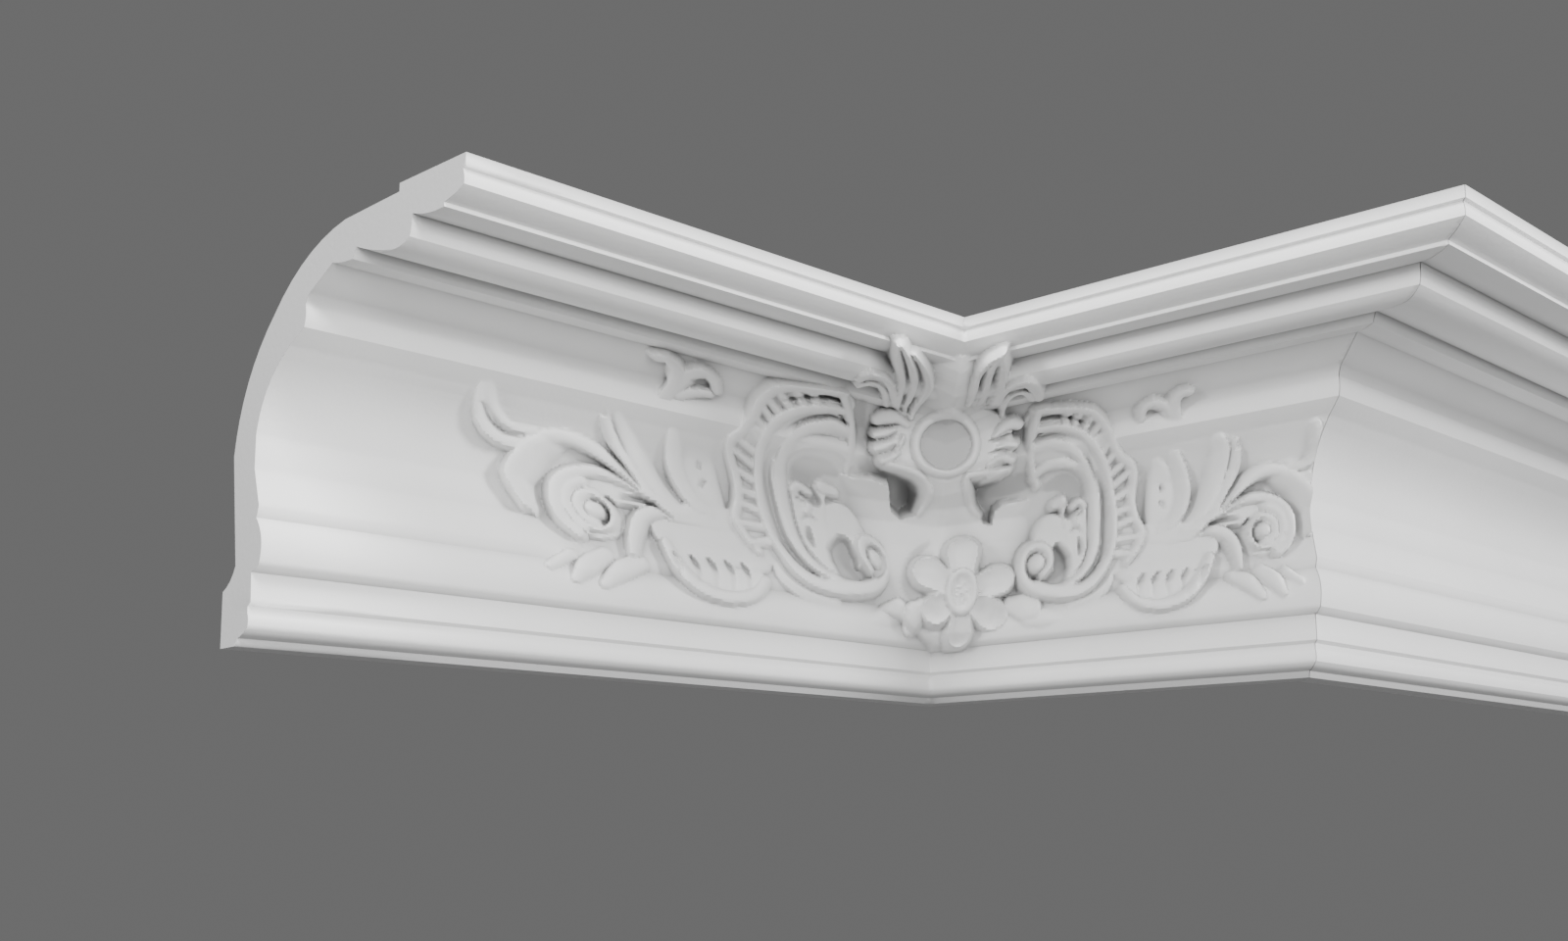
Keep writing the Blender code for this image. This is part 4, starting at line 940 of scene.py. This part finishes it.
@dataclass(frozen=True)
class Centre:
    """Middle of the ornament: belly, neck, fans, crown, buds, flower and medallion."""

    guide: Guide = Guide()
    flower: Flower = Flower()
    medallion: Medallion = Medallion()
    belly_slope: float = 3.0
    foot_slope: float = 1.6
    plate_side: float = 75.0
    plate_foot: float = 80.0
    flower_ground: float = 1.0

    def inside_plate(self, a: np.ndarray, s: np.ndarray) -> np.ndarray:
        """Signed distance to the neck and crown plate's outline, positive inside.

        Args:
            a: signed distances from the mitre.
            s: lengths along the guide line.

        Returns:
            The distance at each place.
        """
        loop = np.asarray(PLATE + PLATE[:1], float)
        reach, _, _, _ = nearest(a, s, loop)
        inside = np.zeros(a.shape, bool)
        for (x0, y0), (x1, y1) in zip(loop[:-1], loop[1:]):
            slope = (x1 - x0) * (s - y0) / (y1 - y0 + 1e-12) + x0
            inside ^= ((y0 > s) != (y1 > s)) & (a < slope)
        return np.where(inside, reach, -reach)

    def rise(self, a: np.ndarray, s: np.ndarray) -> np.ndarray:
        """Rise of the whole middle.

        Args:
            a: signed distances from the mitre.
            s: lengths along the guide line.

        Returns:
            Rise over the guide line.
        """
        face = self.guide.facing(a, s)
        top = np.interp(a, BELLY_TOP_A, BELLY_TOP_S)
        foot = np.interp(a, BELLY_FOOT_A, BELLY_FOOT_S)
        rise = face - self.belly_slope * np.maximum(0, s - top)
        rise = rise - self.foot_slope * np.maximum(0, foot - s)
        near = (np.abs(a) < self.plate_side) & (s > self.plate_foot)
        depth = self.inside_plate(a[near], s[near])
        rise[near] = np.maximum(rise[near], face[near] - PLATE_SLOPE * np.maximum(0, -depth))
        panel = Panel(a, s, face, rise)
        panel.add(*NECK_RIMS)
        crown = Panel(a, s, np.maximum(face, np.interp(s, CROWN_LIFT_S, CROWN_LIFT_H)), rise)
        crown.add(*CROWN_FIELDS, shape=Cut.FLAT)
        crown.add(*CROWN_LEAVES, *CROWN_CURLS)
        panel.add(*FAN_LEAVES)
        panel.cut(*FAN_SLITS, *CROWN_SLITS)
        ground = np.maximum(np.minimum(rise, face), np.interp(s, LIFT_S, LIFT_H))
        low = Panel(a, s, ground, rise)
        low.add(*BUDS)
        rise = np.maximum(low.rise, self.medallion.rise(self.guide, a, s, face))
        flat = Panel(a / math.sqrt(2), s, np.maximum(face, self.flower_ground), rise)
        self.flower.carve(flat)
        return flat.rise


@dataclass(frozen=True)
class Ornament:
    """Whole rocaille ornament over the inside corner."""

    wings: Wings = Wings()
    centre: Centre = Centre()
    blend: float = 1.0

    def rise(self, a: np.ndarray, s: np.ndarray) -> np.ndarray:
        """Rise over the guide line, its parts blended where they meet.

        Args:
            a: signed distances from the mitre.
            s: lengths along the guide line.

        Returns:
            Rise at each place.
        """
        body = self.centre.rise(a, s)
        wing = self.wings.rise(a, s)
        gap = np.abs(body - wing)
        seam = np.where(gap < self.blend, (self.blend - gap) ** 2 / (4 * self.blend), 0)
        return np.maximum(body, wing) + seam

    def valley_shade(self, a: np.ndarray, s: np.ndarray) -> np.ndarray:
        """Painted shade in the scrolls' hollows and in the valleys beside the neck.

        Args:
            a: signed distances from the mitre.
            s: lengths along the guide line.

        Returns:
            0 on open ground up to VALLEY_SHADE.
        """
        x, y = self.wings.place(a, s)
        shades = [Stroke(path).depth(x, y) for path in SCROLL_SHADES]
        shades += [Stroke(path).depth(a, s) for path in VALLEY_SHADES]
        return np.clip(np.max(shades, axis=0), 0, VALLEY_SHADE)


@dataclass(frozen=True)
class Section:
    """Section line of the moulding."""

    front: tuple = FRONT_MEMBERS
    back: tuple = BACK_MEMBERS
    bow_split: int = 4

    def points(self, members: tuple, step: float) -> np.ndarray:
        """Points of a section line, straight and bowed members split to a step.

        Args:
            members: rows of name, distance from wall, height and bow.
            step: longest distance between points.

        Returns:
            Distances from wall and heights.
        """
        points = [(members[0][1], members[0][2])]
        for before, (_, p, z, bow) in zip(members[:-1], members[1:]):
            dp = p - before[1]
            dz = z - before[2]
            length = math.hypot(dp, dz)
            count = max(1, math.ceil(length / step))
            if bow:
                count = max(count, self.bow_split)
            for k in range(1, count + 1):
                t = k / count
                swell = 4 * bow * t * (1 - t) / length
                points.append((before[1] + dp * t - dz * swell, before[2] + dz * t + dp * swell))
        return np.array(points)


def spread(values: np.ndarray, reach: float) -> np.ndarray:
    """Values softened over their neighbours, both ways.

    Args:
        values: rows by columns.
        reach: how far they spread, in rows or columns.

    Returns:
        The softened values.
    """
    half = math.ceil(SPREAD_WIDTH * reach)
    weights = np.exp(-0.5 * (np.arange(-half, half + 1) / reach) ** 2)
    weights = weights / weights.sum()
    rows, cols = values.shape
    padded = np.pad(values, ((half, half), (0, 0)), mode="edge")
    down = sum(w * padded[i:i + rows] for i, w in enumerate(weights))
    padded = np.pad(down, ((0, 0), (half, half)), mode="edge")
    return sum(w * padded[:, i:i + cols] for i, w in enumerate(weights))


def hollow_shade(height: np.ndarray) -> np.ndarray:
    """Painted shade: how far each place lies below its surroundings, darkened where shade falls.

    Args:
        height: heights in millimetres, rows by columns about a millimetre apart.

    Returns:
        0 on open ground to 1 deep in a recess.
    """
    wide = (spread(height, HOLLOW_WIDE) - height) / HOLLOW_WIDE_FULL
    fine = (spread(height, HOLLOW_FINE) - height) / HOLLOW_FINE_FULL
    return np.clip(np.maximum(wide, 0) + np.maximum(fine, 0), 0, 1)


def toe_shade(front: np.ndarray) -> np.ndarray:
    """Painted shade on the toe, which lies under the bottom bead where shade falls."""
    return TOE_SHADE * np.clip((TOE_TOP - front[:, 1]) / TOE_FADE, 0, 1)


def over_columns(points: np.ndarray, columns: np.ndarray) -> tuple[np.ndarray, ...]:
    """Distances from wall and heights of section points, repeated over the columns."""
    return tuple(points[:, k][:, None] * np.ones_like(columns) for k in (0, 1))


def add_object(name: str, data: bpy.types.ID) -> bpy.types.Object:
    """Add an object to the scene.

    Args:
        name: its name.
        data: its mesh, light or camera.

    Returns:
        The new object.
    """
    item = bpy.data.objects.new(name, data)
    bpy.context.scene.collection.objects.link(item)
    return item


def add_mesh(name: str, bm: bmesh.types.BMesh) -> bpy.types.Object:
    """Add an object from a mesh under construction, which is used up.

    Args:
        name: the object's name.
        bm: the mesh.

    Returns:
        The new object.
    """
    mesh = bpy.data.meshes.new(name)
    bm.to_mesh(mesh)
    bm.free()
    return add_object(name, mesh)


def sweep_shell(name: str, grid: np.ndarray, shade: np.ndarray) -> bpy.types.Object:
    """Closed shell from rows of points round the section and columns along the run.

    Args:
        name: the piece's name.
        grid: points in metres, rows by columns; the first and last rows are one line.
        shade: painted shade of each point, kept as a mesh attribute that the paint reads.

    Returns:
        The new piece.
    """
    rows, cols, _ = grid.shape
    bm = bmesh.new()
    layer = bm.verts.layers.float.new("painted_shade")
    made = bmesh.ops.create_grid(bm, x_segments=cols - 1, y_segments=rows - 1, size=1.0)
    for vert, place, painted_shade in zip(made["verts"], grid.reshape(-1, 3), shade.reshape(-1)):
        vert.co = place
        vert[layer] = painted_shade
    bmesh.ops.remove_doubles(bm, verts=bm.verts[:], dist=WELD)
    rims = [edge for edge in bm.edges if edge.is_boundary]
    bmesh.ops.holes_fill(bm, edges=rims, sides=0)
    ends = [face for face in bm.faces if len(face.verts) > 4]
    bmesh.ops.triangulate(bm, faces=ends)
    bmesh.ops.recalc_face_normals(bm, faces=bm.faces[:])
    return add_mesh(name, bm)


def soften(piece: bpy.types.Object, angle: float) -> None:
    """Shade a piece smooth, with arrises sharper than an angle kept crisp.

    Args:
        piece: the piece.
        angle: the angle in degrees.
    """
    for face in piece.data.polygons:
        face.use_smooth = True
    piece.data.set_sharp_from_angle(angle=math.radians(angle))


@dataclass(frozen=True)
class CornerCasting:
    """Left run, return run and ornament, cast as one."""

    node: str = "corner_casting"
    slot: str = "casting_white"
    left_run: float = 405.0
    return_run: float = RETURN_RUN
    ornament_left: float = 300.0
    ornament_foot: float = 14.0
    ornament_head: float = 238.0
    square_zone: float = 100.0
    grid_step: float = 1.05
    plain_column: float = 350.0
    profile_step: float = 1.1
    back_step: float = 8.0
    soft: float = 0.5
    end_clear: float = 1.0
    end_fade: float = 2.0
    edge_fade: float = 3.0
    top_triangles: int = 190000
    section: Section = Section()
    guide: Guide = Guide()
    ornament: Ornament = Ornament()

    @property
    def right_end(self) -> float:
        """Length of the return run up to the gap in the outside corner's mitre."""
        return self.return_run - MITRE_GAP / math.sqrt(2)

    def columns(self) -> np.ndarray:
        """Places along the run: negative on the left run, positive on the return run.

        Returns:
            The places, in order.
        """
        plain = np.array([self.guide.cove_p - self.left_run, -self.plain_column])
        left = np.arange(-self.ornament_left, 0.0, self.grid_step)
        right = np.linspace(0.0, self.right_end, int(self.right_end / self.grid_step))
        return np.concatenate((plain, left, right))

    def surface(self, front: np.ndarray,
                columns: np.ndarray) -> tuple[np.ndarray, np.ndarray]:
        """Front surface, the ornament raised over the plain section.

        Args:
            front: section points of the front.
            columns: places along the run.

        Returns:
            Points in millimetres and the painted shade of each place, rows by columns.
        """
        s, height = self.guide.under(front)
        p, z = over_columns(front, columns)
        reach = self.reach(p, columns)
        signed = np.where(columns[None, :] < 0, -reach, reach)
        rows = (s > self.ornament_foot) & (s < self.ornament_head)
        up = s[rows][:, None] * np.ones_like(columns)
        over = self.ornament.rise(signed[rows], up) - height[rows][:, None]
        near = (over + self.soft) ** 2 / (4 * self.soft)
        over = np.where(over > self.soft, over, np.where(over < -self.soft, 0, near))
        rise = np.zeros_like(p)
        rise[rows] = over * self.fade(signed[rows], up) * (signed[rows] > -self.ornament_left)
        _, _, out, down = self.guide.at(s)
        points = self.to_room(p + rise * out[:, None], z + rise * down[:, None], reach, columns)
        relief = rise + height[:, None]
        # painted shade: darker in recesses, on the toe under the bottom bead, in the scrolls'
        # hollows and neck valleys, and on the medallion's disc
        painted_shade = np.maximum(hollow_shade(relief), toe_shade(front)[:, None])
        low = np.clip((spread(relief, HOLLOW_WIDE) - relief - VALLEY_FROM) / VALLEY_RANGE, 0, 1)
        valley = self.ornament.valley_shade(signed[rows], up) * low[rows]
        disc = self.ornament.centre.medallion.disc_shade(self.guide, signed[rows], up)
        painted_shade[rows] = np.maximum(painted_shade[rows], np.maximum(valley, disc))
        return points, painted_shade

    def fade(self, a: np.ndarray, s: np.ndarray) -> np.ndarray:
        """How much of the ornament stands, down to nothing at its head, foot and right end.

        Args:
            a: signed distances from the mitre.
            s: lengths along the guide line.

        Returns:
            Shares from 0 to 1.
        """
        share = np.clip((self.return_run - self.end_clear - a) / self.end_fade, 0, 1)
        share = share * np.clip((self.ornament_head - s) / self.edge_fade, 0, 1)
        return share * np.clip((s - self.ornament_foot) / self.edge_fade, 0, 1)

    def reach(self, p: np.ndarray, columns: np.ndarray) -> np.ndarray:
        """Distance of each place from the mitre, squared up to the cut left end.

        Args:
            p: distances from wall.
            columns: places along the run.

        Returns:
            The distances.
        """
        reach = np.abs(columns)[None, :] * np.ones_like(p)
        zone = self.square_zone
        share = (self.left_run - p - zone) / (self.left_run - self.guide.cove_p - zone)
        squeezed = zone + (reach - zone) * share
        return np.where((columns[None, :] < 0) & (reach > zone), squeezed, reach)

    def to_room(self, p: np.ndarray, z: np.ndarray, reach: np.ndarray,
                columns: np.ndarray) -> np.ndarray:
        """Points in the part's frame.

        Args:
            p: distances from wall.
            z: heights.
            reach: distances from the mitre.
            columns: places along the run.

        Returns:
            Points in millimetres.
        """
        left = columns[None, :] < 0
        x = np.where(left, CORNER - p - reach, CORNER - p)
        y = np.where(left, CORNER - p, CORNER - p - reach)
        return np.stack([x, y, z], axis=-1)

    def build(self) -> bpy.types.Object:
        """Build the casting.

        Returns:
            The new piece.
        """
        columns = self.columns()
        front = self.section.points(self.section.front, self.profile_step)
        back = self.section.points(self.section.back, self.back_step)[1:]
        grid, painted_shade = self.surface(front, columns)
        p, z = over_columns(back, columns)
        rear = self.to_room(p, z, self.reach(p, columns), columns)
        shade = np.vstack([painted_shade, np.zeros_like(p), painted_shade[:1]])
        piece = sweep_shell("carved_corner", np.vstack([grid, rear, grid[:1]]) * MM, shade)
        triangles = sum(len(face.vertices) - 2 for face in piece.data.polygons)
        if triangles > self.top_triangles:
            thin = piece.modifiers.new("Thin", "DECIMATE")
            thin.decimate_type = "COLLAPSE"
            thin.ratio = self.top_triangles / triangles
        return piece


@dataclass(frozen=True)
class PlainLength:
    """Plain length beyond the outside corner, mitred to the casting and cut square."""

    node: str = "plain_length"
    slot: str = "plain_white"
    run: float = 320.0
    wall: float = CORNER - RETURN_RUN
    profile_step: float = 1.1
    back_step: float = 6.0
    column_count: int = 9
    section: Section = Section()
    guide: Guide = Guide()

    def build(self) -> bpy.types.Object:
        """Build the plain length.

        Returns:
            The new piece.
        """
        front = self.section.points(self.section.front, self.profile_step)
        back = self.section.points(self.section.back, self.back_step)[1:]
        line = np.vstack([front, back, front[:1]])
        shares = np.linspace(0.0, 1.0, self.column_count)
        _, height = self.guide.under(front)
        # painted shade in the section's recesses and on the toe under the bottom bead
        painted_shade = hollow_shade(height[:, None] * np.ones_like(shares))
        painted_shade = np.maximum(painted_shade, toe_shade(front)[:, None])
        rear = np.zeros((len(back), len(shares)))
        mitre = CORNER - line[:, 0] + MITRE_GAP / math.sqrt(2)
        grid = []
        for share in shares:
            x = mitre + (CORNER + self.run - mitre) * share
            grid.append(np.stack([x, self.wall - line[:, 0], line[:, 1]], axis=-1))
        shade = np.vstack([painted_shade, rear, painted_shade[:1]])
        return sweep_shell("plain_run", np.stack(grid, axis=1) * MM, shade)


def new_node(tree: bpy.types.NodeTree, kind: str, values: dict | None = None,
             **settings: object) -> bpy.types.Node:
    """Add a shader node.

    Args:
        tree: the tree it is added to.
        kind: the node's type.
        values: value of each input that is set.
        settings: the node's own settings.

    Returns:
        The new node.
    """
    node = tree.nodes.new(kind)
    for name, setting in settings.items():
        setattr(node, name, setting)
    for socket, value in (values or {}).items():
        node.inputs[socket].default_value = value
    return node


def link(tree: bpy.types.NodeTree, *pairs: tuple[bpy.types.NodeSocket, ...]) -> None:
    """Link pairs of an output and an input socket."""
    for source, target in pairs:
        tree.links.new(source, target)


@dataclass(frozen=True)
class CastPaint:
    """Matte white paint on a cast surface: faint cloudiness, painted shade in the hollows and a
    fine grain.
    """

    name: str
    colour: tuple[float, ...]
    shade: tuple[float, ...]
    # grey the paint is mixed toward where shade is painted
    painted_shade: tuple[float, ...] = (0.36, 0.36, 0.36, 1.0)
    roughness: float = 0.62
    specular: float = 0.35
    grain: float = 0.18
    grain_depth: float = 0.0006

    def make(self, tone_and_shade: bpy.types.NodeTree) -> bpy.types.Material:
        """Build the material.

        Args:
            tone_and_shade: the node group that gives tone, painted shade, roughness and relief over
                the surface.

        Returns:
            The new material.
        """
        material = bpy.data.materials.new(self.name)
        material.use_nodes = True
        tree = material.node_tree
        shader = tree.nodes["Principled BSDF"].inputs
        shader["Metallic"].default_value = 0.0
        shader["Specular IOR Level"].default_value = self.specular
        place = new_node(tree, "ShaderNodeTexCoord")
        # painted shade mask kept on the mesh
        depth = new_node(tree, "ShaderNodeAttribute", attribute_name="painted_shade")
        group = new_node(tree, "ShaderNodeGroup", {
            "Light Colour": self.colour, "Shade Colour": self.shade,
            "Painted Shade Colour": self.painted_shade, "Roughness": self.roughness}, node_tree=tone_and_shade)
        bump = new_node(tree, "ShaderNodeBump",
                        {"Strength": self.grain, "Distance": self.grain_depth})
        link(tree, (place.outputs["Object"], group.inputs["Place"]),
             (depth.outputs["Fac"], group.inputs["Painted Shade"]),
             (group.outputs["Colour"], shader["Base Color"]),
             (group.outputs["Roughness"], shader["Roughness"]),
             (group.outputs["Height"], bump.inputs["Height"]),
             (bump.outputs["Normal"], shader["Normal"]))
        return material


def cut_end_shade(tree: bpy.types.NodeTree, place: bpy.types.NodeSocket) -> bpy.types.NodeSocket:
    """Painted shade on the two cut ends.

    Args:
        tree: the tree the nodes are added to.
        place: the place on the piece.

    Returns:
        CUT_SHADE at either end of the part's length, nothing between them.
    """
    axes = new_node(tree, "ShaderNodeSeparateXYZ")
    link(tree, (place, axes.inputs["Vector"]))
    passed = axes.outputs["X"]
    for operation, amount in (("SUBTRACT", LENGTH_MIDDLE), ("ABSOLUTE", 0.0),
                              ("GREATER_THAN", LENGTH_HALF), ("MULTIPLY", CUT_SHADE)):
        step = new_node(tree, "ShaderNodeMath", {1: amount}, operation=operation)
        link(tree, (passed, step.inputs[0]))
        passed = step.outputs["Value"]
    return passed


def paint_tone_and_shade() -> bpy.types.NodeTree:
    """Node group of the paint's random cloudiness and grain and of its painted shade in hollows and
    on cut ends.

    Returns:
        The group, with the sockets of TONE_AND_SHADE_SOCKETS.
    """
    tree = bpy.data.node_groups.new("paint_tone_and_shade", "ShaderNodeTree")
    for way, kind, name in TONE_AND_SHADE_SOCKETS:
        tree.interface.new_socket(name, in_out=way, socket_type=f"NodeSocket{kind}")
    come = new_node(tree, "NodeGroupInput").outputs
    leave = new_node(tree, "NodeGroupOutput").inputs
    cloud = new_node(tree, "ShaderNodeTexNoise", CLOUD)
    grain = new_node(tree, "ShaderNodeTexNoise", GRAIN)
    tone = new_node(tree, "ShaderNodeMapRange", CLOUD_RANGE)
    blend = new_node(tree, "ShaderNodeMix", data_type="RGBA")
    shade_mix = new_node(tree, "ShaderNodeMix", data_type="RGBA")
    rough = new_node(tree, "ShaderNodeMath", {1: GRAIN_ROUGH}, operation="MULTIPLY_ADD")
    # painted shade: the recess mask and the cut ends mix the paint toward the painted shade grey
    deepest = new_node(tree, "ShaderNodeMath", operation="MAXIMUM")
    link(tree, (cut_end_shade(tree, come["Place"]), deepest.inputs[0]),
         (come["Painted Shade"], deepest.inputs[1]),
         (come["Place"], cloud.inputs["Vector"]),
         (come["Place"], grain.inputs["Vector"]),
         (cloud.outputs["Fac"], tone.inputs["Value"]),
         (tone.outputs["Result"], blend.inputs["Factor"]),
         (come["Light Colour"], blend.inputs["A"]),
         (come["Shade Colour"], blend.inputs["B"]),
         (grain.outputs["Fac"], rough.inputs[0]),
         (come["Roughness"], rough.inputs[2]),
         (deepest.outputs["Value"], shade_mix.inputs["Factor"]),
         (blend.outputs["Result"], shade_mix.inputs["A"]),
         (come["Painted Shade Colour"], shade_mix.inputs["B"]),
         (shade_mix.outputs["Result"], leave["Colour"]),
         (rough.outputs["Value"], leave["Roughness"]),
         (grain.outputs["Fac"], leave["Height"]))
    return tree


@dataclass(frozen=True)
class Softbox:
    """One large soft light, placed by its bearing from the camera's side of the corner."""

    bearing: float
    elevation: float
    power: float
    size: float = 0.8
    distance: float = 1.6

    def place(self, aim: Vector, front: float) -> Vector:
        """Place of the light.

        Args:
            aim: the point it is turned to.
            front: the camera's bearing from that point, in radians.

        Returns:
            The place.
        """
        turn = front + math.radians(self.bearing)
        rise = math.radians(self.elevation)
        way = Vector((math.cos(turn) * math.cos(rise), math.sin(turn) * math.cos(rise),
                      math.sin(rise)))
        return aim + way * self.distance


@dataclass(frozen=True)
class Studio:
    """Pale floor, soft light and the camera at the photograph's viewing angle."""

    camera_place: tuple[float, float, float] = (-0.58508, -0.471935, -0.21954)
    yaw: float = 0.781
    pitch: float = 0.1377
    lens: float = 40.12
    shift: float = 0.08
    sensor: float = 36.0
    clip_start: float = 0.01
    floor_height: float = -2.0
    floor_half: float = 3.0
    floor_cells: int = 8
    floor_colour: tuple[float, ...] = (0.7, 0.7, 0.7, 1.0)
    world: float = 0.17
    world_colour: tuple[float, ...] = (0.9, 0.9, 0.9, 1.0)
    aim: tuple[float, float, float] = (0.02, 0.02, -0.08)
    boxes: tuple[Softbox, ...] = (
        Softbox(bearing=62.0, elevation=14.0, power=27.0, size=0.4),
        Softbox(bearing=-38.0, elevation=8.0, power=16.0, size=0.4),
        Softbox(bearing=14.0, elevation=0.0, power=22.0, size=0.5),
        Softbox(bearing=0.0, elevation=44.0, power=40.0, size=0.6),
    )

    def build(self) -> None:
        """Set up floor, lights, world and camera."""
        scene = bpy.context.scene
        self.add_floor()
        for number, box in enumerate(self.boxes):
            self.add_softbox(f"softbox_{number}", box)
        world = bpy.data.worlds.new("studio")
        scene.world = world
        world.use_nodes = True
        back = world.node_tree.nodes["Background"].inputs
        back["Color"].default_value = self.world_colour
        back["Strength"].default_value = self.world
        self.add_camera()

    def add_floor(self) -> None:
        """Add the floor as staging."""
        bm = bmesh.new()
        cells = self.floor_cells
        bmesh.ops.create_grid(bm, x_segments=cells, y_segments=cells, size=self.floor_half)
        bmesh.ops.translate(bm, verts=bm.verts[:], vec=(0.0, 0.0, self.floor_height))
        floor = add_mesh("studio_floor", bm)
        pale = bpy.data.materials.new("studio_pale")
        pale.use_nodes = True
        shader = pale.node_tree.nodes["Principled BSDF"].inputs
        shader["Base Color"].default_value = self.floor_colour
        floor.data.materials.append(pale)

    def add_softbox(self, name: str, box: Softbox) -> None:
        """Add one light.

        Args:
            name: the light's name.
            box: the light.
        """
        light = bpy.data.lights.new(name, "AREA")
        light.size = box.size
        light.energy = box.power
        lamp = add_object(name, light)
        aim = Vector(self.aim)
        back = Vector(self.camera_place) - aim
        lamp.location = box.place(aim, math.atan2(back.y, back.x))
        lamp.rotation_euler = (aim - lamp.location).to_track_quat("-Z", "Y").to_euler()

    def add_camera(self) -> None:
        """Add the camera and make it the scene's own."""
        data = bpy.data.cameras.new("view")
        data.sensor_width = self.sensor
        data.lens = self.lens
        data.shift_y = self.shift
        data.clip_start = self.clip_start
        camera = add_object("view", data)
        camera.location = self.camera_place
        camera.rotation_euler = (math.pi / 2 + self.pitch, 0.0, self.yaw - math.pi / 2)
        bpy.context.scene.camera = camera


def dress(part: CornerCasting | PlainLength, finish: bpy.types.Material, angle: float) -> None:
    """Build one part, give it its finish and let it stand for its node.

    Args:
        part: the part.
        finish: its material.
        angle: arris angle that stays crisp, in degrees.
    """
    piece = part.build()
    piece.data.materials.append(finish)
    soften(piece, angle)
    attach(piece, "root")
    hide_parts(part.node)
    LOG.info("%s built with %d faces", piece.name, len(piece.data.polygons))


def main() -> None:
    """Build every piece, then the studio, and note the sizes."""
    logging.basicConfig(level=logging.INFO)
    tone_and_shade = paint_tone_and_shade()
    cast_white = CastPaint("cast_white_paint", (0.80, 0.80, 0.795, 1.0), (0.765, 0.765, 0.76, 1.0))
    plain_white = CastPaint("plain_white_paint", (0.80, 0.80, 0.80, 1.0), (0.77, 0.77, 0.77, 1.0))
    dress(CornerCasting(), cast_white.make(tone_and_shade), CAST_ARRIS)
    dress(PlainLength(), plain_white.make(tone_and_shade), PLAIN_ARRIS)
    Studio().build()


if __name__ == "__main__":
    main()
